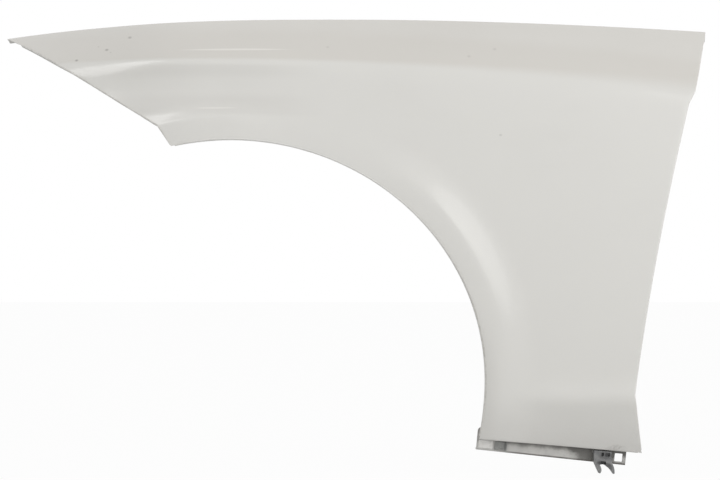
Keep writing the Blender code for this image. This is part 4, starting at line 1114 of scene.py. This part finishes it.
class Finish:
    """A material, with the one method that makes its nodes."""

    def __init__(self, name, tree=None):
        self.material = None
        if tree is None:
            self.material = bpy.data.materials.new(name)
            self.material.use_nodes = True
            tree = self.material.node_tree
        self.tree = tree

    def node(self, kind, settings, sockets):
        """A node of a kind: settings first, then each socket's value or link. Gives its outputs."""
        made = self.tree.nodes.new("ShaderNode" + kind)
        for setting, value in settings.items():
            setattr(made, setting, value)
        found = {socket.identifier: socket for socket in made.inputs}
        for key, value in sockets.items():
            self.fill(made.inputs[key] if isinstance(key, int) else found[key], value)
        return {socket.identifier: Value(self, socket) for socket in made.outputs}

    def fill(self, socket, value):
        """Link a socket to a wrapped one, or give it a plain number or colour."""
        if isinstance(value, Value):
            self.tree.links.new(value.socket, socket)
        else:
            socket.default_value = value

    def surface(self, **sockets):
        """Fill sockets of the Principled shader, whose names are written with underscores."""
        shader = self.tree.nodes["Principled BSDF"]
        for key, value in sockets.items():
            self.fill(shader.inputs[key.replace("_", " ").title()], value)

    def place(self):
        """Object coordinates: the vector, and its x and z."""
        spot = self.node("TexCoord", {}, {})["Object"]
        split = self.node("SeparateXYZ", {}, {"Vector": spot})
        return spot, split["X"], split["Z"]

    def stretched(self, spot, scale):
        """Coordinates times a scale for each axis, which draws a pattern out along the others."""
        return self.node("Mapping", {}, {"Vector": spot, "Scale": scale})["Vector"]

    def along(self, spot, start, way):
        """Distance from a start along a way: the dot product of spot - start with the way."""
        moved = self.node("VectorMath", {"operation": "SUBTRACT"}, {0: spot, 1: tuple(start)})
        sockets = {0: moved["Vector"], 1: tuple(way)}
        return self.node("VectorMath", {"operation": "DOT_PRODUCT"}, sockets)["Value"]

    def noise(self, spot, scale, detail=3.0, roughness=0.55):
        """Smooth noise about 0.5, with 1 / scale metres between its lumps."""
        sockets = {"Vector": spot, "Scale": scale, "Detail": detail, "Roughness": roughness}
        return self.node("TexNoise", {}, sockets)["Fac"]

    def step(self, value, low, high):
        """A smooth step that is 0 at low and 1 at high."""
        settings = {"interpolation_type": "SMOOTHSTEP"}
        sockets = {"Value": value, "From Min": low, "From Max": high}
        return self.node("MapRange", settings, sockets)["Result"]

    def mix(self, share, one, other):
        """A blend of two colours."""
        settings = {"data_type": "RGBA"}
        colours = {"Factor_Float": share}
        for key, colour in (("A_Color", one), ("B_Color", other)):
            colours[key] = colour if isinstance(colour, Value) else (*colour, 1.0)
        return self.node("Mix", settings, colours)["Result_Color"]

    def bump(self, height, distance, strength=1.0, under=None):
        """A normal from a height between 0 and 1 that stands for a distance."""
        sockets = {"Height": height, "Distance": distance, "Strength": strength}
        if under is not None:
            sockets["Normal"] = under
        return self.node("Bump", {}, sockets)["Normal"]

    def seen(self):
        """1 for rays from the camera, straight, mirrored or through glass, and 0 for light."""
        ray = self.node("LightPath", {}, {})
        rays = ray["Is Camera Ray"] + ray["Is Glossy Ray"] + ray["Is Transmission Ray"]
        return self.step(rays, 0.0, 1.0)


def blot(finish, x, z, middle, size, fade):
    """A round mark: 1 inside, fading from 1 - fade to 1 + fade of its own size."""
    away = (((x - middle[0]) / size[0]) ** 2.0 + ((z - middle[1]) / size[1]) ** 2.0) ** 0.5
    return 1.0 - finish.step(away, 1.0 - fade, 1.0 + fade)


def seen_at(column, row, depth):
    """x and z of a place on the panel that the picture shows at a column and row."""
    scale = METRES_PER_PIXEL * (1 + depth / CAMERA_DISTANCE)
    up = (PIXELS_HIGH / 2 - row) * scale
    return (column - PIXELS_WIDE / 2) * scale + CAMERA_BACK, up + CAMERA_HEIGHT - LEDGE_HEIGHT


def arch_scale(x, z, half_height):
    """Size of the ellipse through a place, as a share of the arch: sqrt(x^2/a^2 + h^2/b^2)."""
    return ((x / ARCH_HALF_LENGTH) ** 2.0 + ((z + LEDGE_HEIGHT) / half_height) ** 2.0) ** 0.5


SHOULDER_Z = SHOULDER_HEIGHT - LEDGE_HEIGHT


# %% [markdown]
# ## Body paint
# The panel is sprayed a warm white under clear lacquer. The band above the shoulder line is painted
# a little darker and warmer, as painted shade where it leans up, and the front is a little darker.
# Painted shade lies in the scoop's two hollows and low on the foot, and there is some splash by the
# arch. The rest is faint: cloudiness, dust that gathers towards the foot, a few specks on the band,
# two painted reflection streaks of a strip light and a smudge above the lower edge. The lacquer has
# a slight orange peel.
# The marks are small formulas of the place on the panel, so they stay put from any side.

# %% Body paint
WARM_WHITE = (0.713, 0.703, 0.671)
# The band's tint is painted shade.
BAND_SHADE = (0.636, 0.612, 0.568)
# The foot's tint is painted shade.
FOOT_SHADE = (0.560, 0.550, 0.530)
# Each speck: column and row in the picture, size and strength.
# Each painted reflection streak: the same with two sizes.
SPECKS = [(75, 59.5, 0.0017, 0.75), (105.5, 49, 0.0019, 0.70), (128, 36, 0.0020, 0.60),
          (328, 49, 0.0016, 0.18), (468, 58, 0.0018, 0.20), (494, 50, 0.0020, 0.18),
          (498, 137, 0.0016, 0.28), (96, 45, 0.0011, 0.25), (110, 52, 0.0012, 0.25)]
REFLECTION_STREAKS = [(236, 51, 0.066, 0.0014, 0.5), (218, 110, 0.026, 0.0013, 0.35)]

paint = Finish("body_paint_lacquer")
spot, x, z = paint.place()
clouds = paint.noise(spot, 5.0, 3.0)
stains = paint.noise(paint.stretched(spot, (3.0, 3.0, 11.0)), 2.0, 4.0, 0.6)
fine = paint.noise(spot, 420.0, 4.0, 0.6)
low = 1.0 - paint.step(z, -0.590, -0.500)
dust = paint.step(clouds * 0.55 + stains * 0.35 + fine * 0.25, 0.52, 0.80) * (0.35 + 0.65 * low)
colour = paint.mix(paint.step(clouds, 0.30, 0.72) * 0.5, WARM_WHITE, (0.701, 0.692, 0.663))
back = (x + SHOULDER_CROWN_AHEAD) / (SHOULDER_REAR_BACK + SHOULDER_CROWN_AHEAD)
above = z - SHOULDER_Z + back * back * SHOULDER_REAR_FALL
# Painted shade on the band above the shoulder line, which leans up; weaker higher up.
band_shade_share = paint.step(above / (1.0 + 4.0 * back * back), -0.0015, 0.0045)
band_shade_share = band_shade_share * (1.0 - 0.34 * paint.step(above, 0.036, 0.058))
colour = paint.mix(band_shade_share * 0.80, colour, BAND_SHADE)
ahead = 1.0 - paint.step(x, 0.02, 0.15)
# Painted shade in the scoop's two hollows: just under the shoulder line, and above the flare.
under = paint.step(above, -0.010, -0.004)
dust_film_and_shade = (1.0 - under) * paint.step(above, -0.030, -0.016)
dust_film_and_shade = dust_film_and_shade + paint.step(above, -0.082, -0.074) * (1.0 - paint.step(above, -0.058, -0.044))
outside = arch_scale(x, z, ARCH_LOWER_HALF_HEIGHT)
splash = (1.0 - paint.step(outside, 1.0, 1.075)) * (1.0 - paint.step(z, -0.50, -0.36))
front = 1.0 - paint.step(x, -0.17, -0.02)
# The hollows' and the low foot's shares here are painted shade.
for share, strength, tint in (
        (dust_film_and_shade * ahead, 0.15, (0.45, 0.43, 0.40)), (splash, 0.24, (0.44, 0.43, 0.40)),
        (front, 0.20, (0.45, 0.44, 0.41)), (dust, 0.30, (0.560, 0.540, 0.500)),
        (low, 0.38, FOOT_SHADE)):
    colour = paint.mix(share * strength, colour, tint)
# Painted reflections: two thin pale streaks of a strip light, on the band and above the flare.
for column, row, width, height, strength in REFLECTION_STREAKS:
    mark = blot(paint, x, z, seen_at(column, row, 0.07), (width, height), 0.4)
    colour = paint.mix(mark * strength, colour, (0.86, 0.84, 0.80))
for column, row, size, strength in SPECKS:
    mark = blot(paint, x, z, seen_at(column, row, 0.08), (size * 1.2, size * 0.8), 0.8)
    colour = paint.mix(mark * strength, colour, (0.24, 0.22, 0.20))
smudge = blot(paint, x, z, seen_at(615, 447.5, 0.06), (0.010, 0.0042), 0.8)
smudge = smudge * paint.step(paint.noise(spot, 260.0, 3.0), 0.30, 0.62)
colour = paint.mix(smudge * 0.45, colour, (0.30, 0.29, 0.27))
peel = paint.noise(spot, 330.0, 1.0)
grit = paint.step(paint.noise(spot, 900.0, 2.0), 0.66, 0.76)
normal = paint.bump(peel, 0.00005, 0.5)
normal = paint.bump(grit, 0.00006, 0.4, normal)
paint.surface(base_color=colour, roughness=0.40 + 0.20 * dust + 0.25 * smudge, coat_weight=0.70,
              coat_roughness=0.14, normal=normal)
print("body paint has", len(paint.tree.nodes), "nodes")

# %% [markdown]
# ## The back of the sheet
# Nobody polishes the back. It has the grey coat that the whole panel was dipped in, with white
# overspray that reaches in from the top and the rear, and road dirt round the arch and low down.

# %% Back of the panel
backing = Finish("panel_back_coat")
spot, x, z = backing.place()
lumps = backing.noise(spot, 4.0, 3.0, 0.5)
mist = backing.noise(spot, 210.0, 4.0, 0.7)
runs = backing.noise(backing.stretched(spot, (45.0, 45.0, 4.0)), 1.0, 3.0, 0.55)
height = z - SHOULDER_Z
spray = backing.step(height, -0.22, 0.02) + backing.step(x, 0.42, 0.60)
spray = backing.step(spray * 0.60 + lumps * 0.35 + mist * 0.25, 0.30, 0.90)
colour = backing.mix(spray, (0.440, 0.436, 0.424), (0.600, 0.590, 0.566))
outside = arch_scale(x, z, ARCH_HALF_HEIGHT)
grime = 1.0 - backing.step(outside, 1.0, 1.34)
grime = grime * backing.step(lumps * 0.4 + mist * 0.6, 0.34, 0.62)
colour = backing.mix(grime * 0.55, colour, (0.240, 0.215, 0.180))
foot_dirt = (1.0 - backing.step(z, -0.58, -0.40)) * backing.step(mist, 0.36, 0.62)
colour = backing.mix(foot_dirt * 0.45, colour, (0.200, 0.180, 0.150))
colour = backing.mix(backing.step(runs, 0.60, 0.74) * 0.16, colour, (0.300, 0.285, 0.255))
normal = backing.bump(mist, 0.00012, 0.6)
backing.surface(base_color=colour, roughness=0.46 + 0.30 * grime, coat_weight=0.10, normal=normal)
print("back of the panel has", len(backing.tree.nodes), "nodes")

# %% [markdown]
# ## The turned edges
# On the wheel arch and beside the headlight, where the sheet turns in, the edges are painted a grey
# mottled by wear, as painted shade; over the top of the arch they are painted lighter, as painted
# light. That gives the panel the fine grey line which it shows along those edges.

# %% Turned edges
edging = Finish("turned_edge_painted_shade")
spot, x, z = edging.place()
worn = edging.noise(spot, 120.0, 4.0, 0.65)
# A grey mottled by wear, as painted shade on the turned edges.
colour = edging.mix(edging.step(worn, 0.35, 0.65), (0.660, 0.648, 0.618), (0.540, 0.528, 0.500))
# Painted light: lighter turned edges over the top of the arch.
painted_light_top = edging.step(x, -0.11, -0.04) * edging.step(z, -0.40, -0.20)
colour = edging.mix(painted_light_top, colour, (0.800, 0.790, 0.762))
normal = edging.bump(worn, 0.00008, 0.5)
edging.surface(base_color=colour, roughness=0.50 + 0.15 * worn, normal=normal)
print("turned edges have", len(edging.tree.nodes), "nodes")

# %% [markdown]
# ## The bracket's paint
# The bracket got a thin coat of the same white, without lacquer, with patches and streaks of grime.
# Painted shade darkens the top of the web in the gap under the skin, the web beside the clip and
# the bottom fold, and dark specks gather beside the clip. Grime and painted shade are laid out by
# the distance along the bracket and by the height on its web.

# %% Bracket paint
steel = Finish("bracket_thin_paint")
spot = steel.place()[0]
run = steel.along(spot, bracket_front, ALONG)
rise = steel.along(spot, bracket_front, UPWARD)
patches = steel.noise(spot, 55.0, 4.0, 0.62)
streaks = steel.noise(steel.stretched(spot, (25.0, 60.0, 240.0)), 1.0, 3.0, 0.6)
specks = steel.noise(spot, 420.0, 3.0, 0.7)
# Painted shade: the skin's shadow on the top of the web, and shade on the web beside the clip.
gap = steel.step(rise + 0.005 * patches, -0.0105, 0.0015)
beside = steel.step(run, 0.125, 0.163) * (1.0 - 0.45 * steel.step(run, 0.198, 0.208))
front = 1.0 - steel.step(run, 0.030, 0.060)
dirt_and_shade = gap * 0.60 + beside * 0.75 + patches * 0.36 + streaks * 0.20 - front * 0.35
dirt_and_shade = steel.step(dirt_and_shade, 0.42, 1.05)
colour = steel.mix(steel.step(patches, 0.35, 0.65), (0.600, 0.590, 0.568), (0.520, 0.512, 0.494))
colour = steel.mix(dirt_and_shade * 0.88, colour, (0.120, 0.116, 0.108))
speckled = steel.step(specks, 0.58, 0.70) * (0.12 + 0.60 * beside)
colour = steel.mix(speckled, colour, (0.10, 0.095, 0.085))
# Painted shade along the bottom fold, varied by the streaks.
fold = 1.0 - steel.step(abs(rise + 0.0158 + run * 0.0188), 0.0008, 0.0026)
colour = steel.mix(fold * (1.0 - front) * (0.35 + streaks), colour, (0.13, 0.12, 0.11))
# A pale sliver on the web beside the clip.
pale_sliver = blot(steel, run, rise, (0.1722, -0.0036), (0.0008, 0.0030), 0.3)
colour = steel.mix(pale_sliver * 0.85, colour, (0.80, 0.79, 0.76))
normal = steel.bump(patches * 0.6 + specks * 0.4, 0.00010, 0.7)
steel.surface(base_color=colour, roughness=0.46 + 0.25 * dirt_and_shade, normal=normal)
print("bracket paint has", len(steel.tree.nodes), "nodes")

# %% [markdown]
# ## Plastics and the bare label
# Nut and clip are moulded in grey plastic with a fine grain, dusty in patches and a bit scuffed,
# with spots of painted shade.
# The label at the bracket's front end is plain paper here.


# %% Moulded plastics
def moulded(name, colour, dusty, grain, roughness, shadows=()):
    """Grey plastic: colour blended to dust by two noises, and a grain of fine bumps.

    The shadows are spots of painted shade: distance along the bracket, height, two sizes and
    strength.
    """
    plastic = Finish(name)
    spot = plastic.place()[0]
    patches = plastic.noise(spot, 170.0, 4.0, 0.65)
    fine = plastic.noise(spot, grain, 2.0, 0.6)
    dust_film_and_shade = plastic.step(patches * 0.7 + fine * 0.3, 0.42, 0.64)
    base = plastic.mix(dust_film_and_shade, colour, dusty)
    scuff = plastic.noise(plastic.stretched(spot, (300.0, 300.0, 60.0)), 1.0, 3.0)
    scuff = plastic.step(scuff, 0.60, 0.70)
    base = plastic.mix(scuff * 0.35, base, tuple(min(1.0, 1.6 * part) for part in dusty))
    run = plastic.along(spot, bracket_front, ALONG)
    rise = plastic.along(spot, bracket_front, UPWARD)
    for along, up, width, height, strength in shadows:
        spot_share = blot(plastic, run, rise, (along, up), (width, height), 0.45)
        base = plastic.mix(spot_share * strength, base, (0.035, 0.035, 0.036))
    normal = plastic.bump(fine, 0.00008, 0.7)
    plastic.surface(base_color=base, roughness=roughness + 0.20 * dust_film_and_shade, normal=normal)
    print(name, "has", len(plastic.tree.nodes), "nodes")
    return plastic


# The listed spots are painted shade: at the nut's right edge, and round the clip's pockets and
# arch.
nut_plastic = moulded(
    "nut_grey_plastic", (0.255, 0.258, 0.250), (0.330, 0.328, 0.315), 1500.0, 0.45,
    [(NUT_ALONG + 0.0085, -0.008, 0.0016, 0.007, 0.55)])
clip_plastic = moulded(
    "clip_grey_plastic", (0.190, 0.191, 0.194), (0.270, 0.269, 0.265), 1300.0, 0.42, [
        (CLIP_ALONG + 0.0005, -0.0090, 0.0095, 0.0050, 0.55),
        (CLIP_ALONG - 0.0040, -0.0195, 0.0062, 0.0028, 0.92),
        (CLIP_ALONG + 0.0040, -0.0215, 0.0062, 0.0026, 0.70),
        (CLIP_ALONG + 0.0088, -0.0250, 0.0040, 0.0040, 0.45)])

# %% Label paper
paper = Finish("bare_label_paper")
spot = paper.place()[0]
fibre = paper.noise(spot, 700.0, 4.0, 0.7)
stain = paper.step(paper.noise(spot, 90.0, 4.0, 0.6), 0.45, 0.70)
colour = paper.mix(stain * 0.4, (0.82, 0.81, 0.79), (0.66, 0.64, 0.60))
colour = paper.mix(paper.step(fibre, 0.55, 0.75) * 0.3, colour, (0.36, 0.35, 0.33))
normal = paper.bump(fibre, 0.00004, 0.5)
paper.surface(base_color=colour, roughness=0.55 + 0.15 * stain, normal=normal)
print("label paper has", len(paper.tree.nodes), "nodes")

# %% [markdown]
# ## Stage and light
# The picture has two soft boxes, in front of each end of the panel and above it, which show as
# the bright patches in the scoop and on the flare. Everything else is an even brightness from
# all round that is strongest level with the panel, and a little stronger from the rear, so the
# leaning band and the foot are darker than the side. Floor and surroundings look white to the
# camera and in reflections, but give the panel only their own plain light.


# %% Lights
WHITE = (1.0, 1.0, 1.0, 1.0)


def soft_box(name, centre, aim, width, height, watts):
    """A rectangle of light that faces the point it is aimed at."""
    data = bpy.data.lights.new(name, "AREA")
    data.shape = "RECTANGLE"
    data.size, data.size_y = width, height
    data.energy = watts
    lamp = add_object(name, data)
    lamp.location = centre
    away = np.array(aim) - np.array(centre)
    level = math.hypot(away[0], away[1])
    turn = math.atan2(away[1], away[0]) - math.pi / 2
    lamp.rotation_euler = (math.atan2(level, -away[2]), 0, turn)
    print(name, "gives", watts, "W")


soft_box("front_box", (-1.80, -1.05, 1.40), (-0.25, -0.1, -0.05), 0.9, 1.6, 14.0)
soft_box("rear_box", (2.05, -1.60, 0.45), (0.30, -0.12, -0.20), 1.5, 2.2, 14.0)

world = bpy.data.worlds.new("studio")
bpy.context.scene.world = world
world.use_nodes = True
studio = Finish("studio", world.node_tree)
way = studio.node("TexCoord", {}, {})["Generated"]
split = studio.node("SeparateXYZ", {}, {"Vector": way})
seen = studio.seen()
level = (0.40 + 0.98 * (1.0 - abs(split["Z"])) ** 1.6) * (1.0 + 0.32 * split["X"])
grey = studio.node("CombineXYZ", {}, {"X": level, "Y": level, "Z": level})["Vector"]
light = studio.node("Background", {}, {"Color": grey, "Strength": 1.0})["Background"]
white = studio.node("Background", {}, {"Color": WHITE, "Strength": 1.0})["Background"]
both = studio.node("MixShader", {}, {0: seen, 1: light, 2: white})["Shader"]
studio.fill(world.node_tree.nodes["World Output"].inputs["Surface"], both)

# %% [markdown]
# ## Floor
# A pale matt floor lies just under the clip's prongs and takes the shadow. To the camera and in
# reflections it is mostly plain white, so that it meets the surroundings with hardly a line.

# %% Floor
FLOOR, FLOOR_HALF, FLOOR_WHITE_SHARE = -0.6245, 9.0, 0.96
corners = np.array([[x * FLOOR_HALF, y * FLOOR_HALF, FLOOR] for y in (-1, 1) for x in (-1, 1)])
floor = sheet_mesh("studio_floor", [corners.reshape(2, 2, 3)])
ground = Finish("pale_floor")
ground.surface(base_color=(0.62, 0.62, 0.61, 1.0), roughness=0.9)
seen = ground.seen()
white = ground.node("Emission", {}, {"Color": WHITE, "Strength": 1.0})["Emission"]
lit = Value(ground, ground.tree.nodes["Principled BSDF"].outputs["BSDF"])
both = ground.node("MixShader", {}, {0: seen * FLOOR_WHITE_SHARE, 1: lit, 2: white})["Shader"]
ground.fill(ground.tree.nodes["Material Output"].inputs["Surface"], both)
floor.data.materials.append(ground.material)
print("floor at", FLOOR)
bpy.context.scene.view_settings.view_transform = "Standard"

# %% [markdown]
# ## Finishes on the pieces, and the end
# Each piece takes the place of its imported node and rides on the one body, and the label is extra.
# The panel has three finishes: the outside, the back and the turned edges.

# %% Finishes on the pieces
panel.data.materials[0] = paint.material
panel.data.materials[1] = panel.data.materials[3] = backing.material
panel.data.materials[2] = edging.material
for piece, finish in ((bracket, steel), (nut, nut_plastic), (clip, clip_plastic), (label, paper)):
    piece.data.materials.clear()
    piece.data.materials.append(finish.material)
for piece, node, finish in (
        (panel, "fender_panel", "body_paint"), (bracket, "lower_bracket", "bracket_paint"),
        (nut, "plug_nut", "nut_plastic"), (clip, "sill_trim_clip", "clip_plastic")):
    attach(piece, "root")
    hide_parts(node)
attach(label, "root")
print("the panel has", len(panel.data.materials), "material slots")
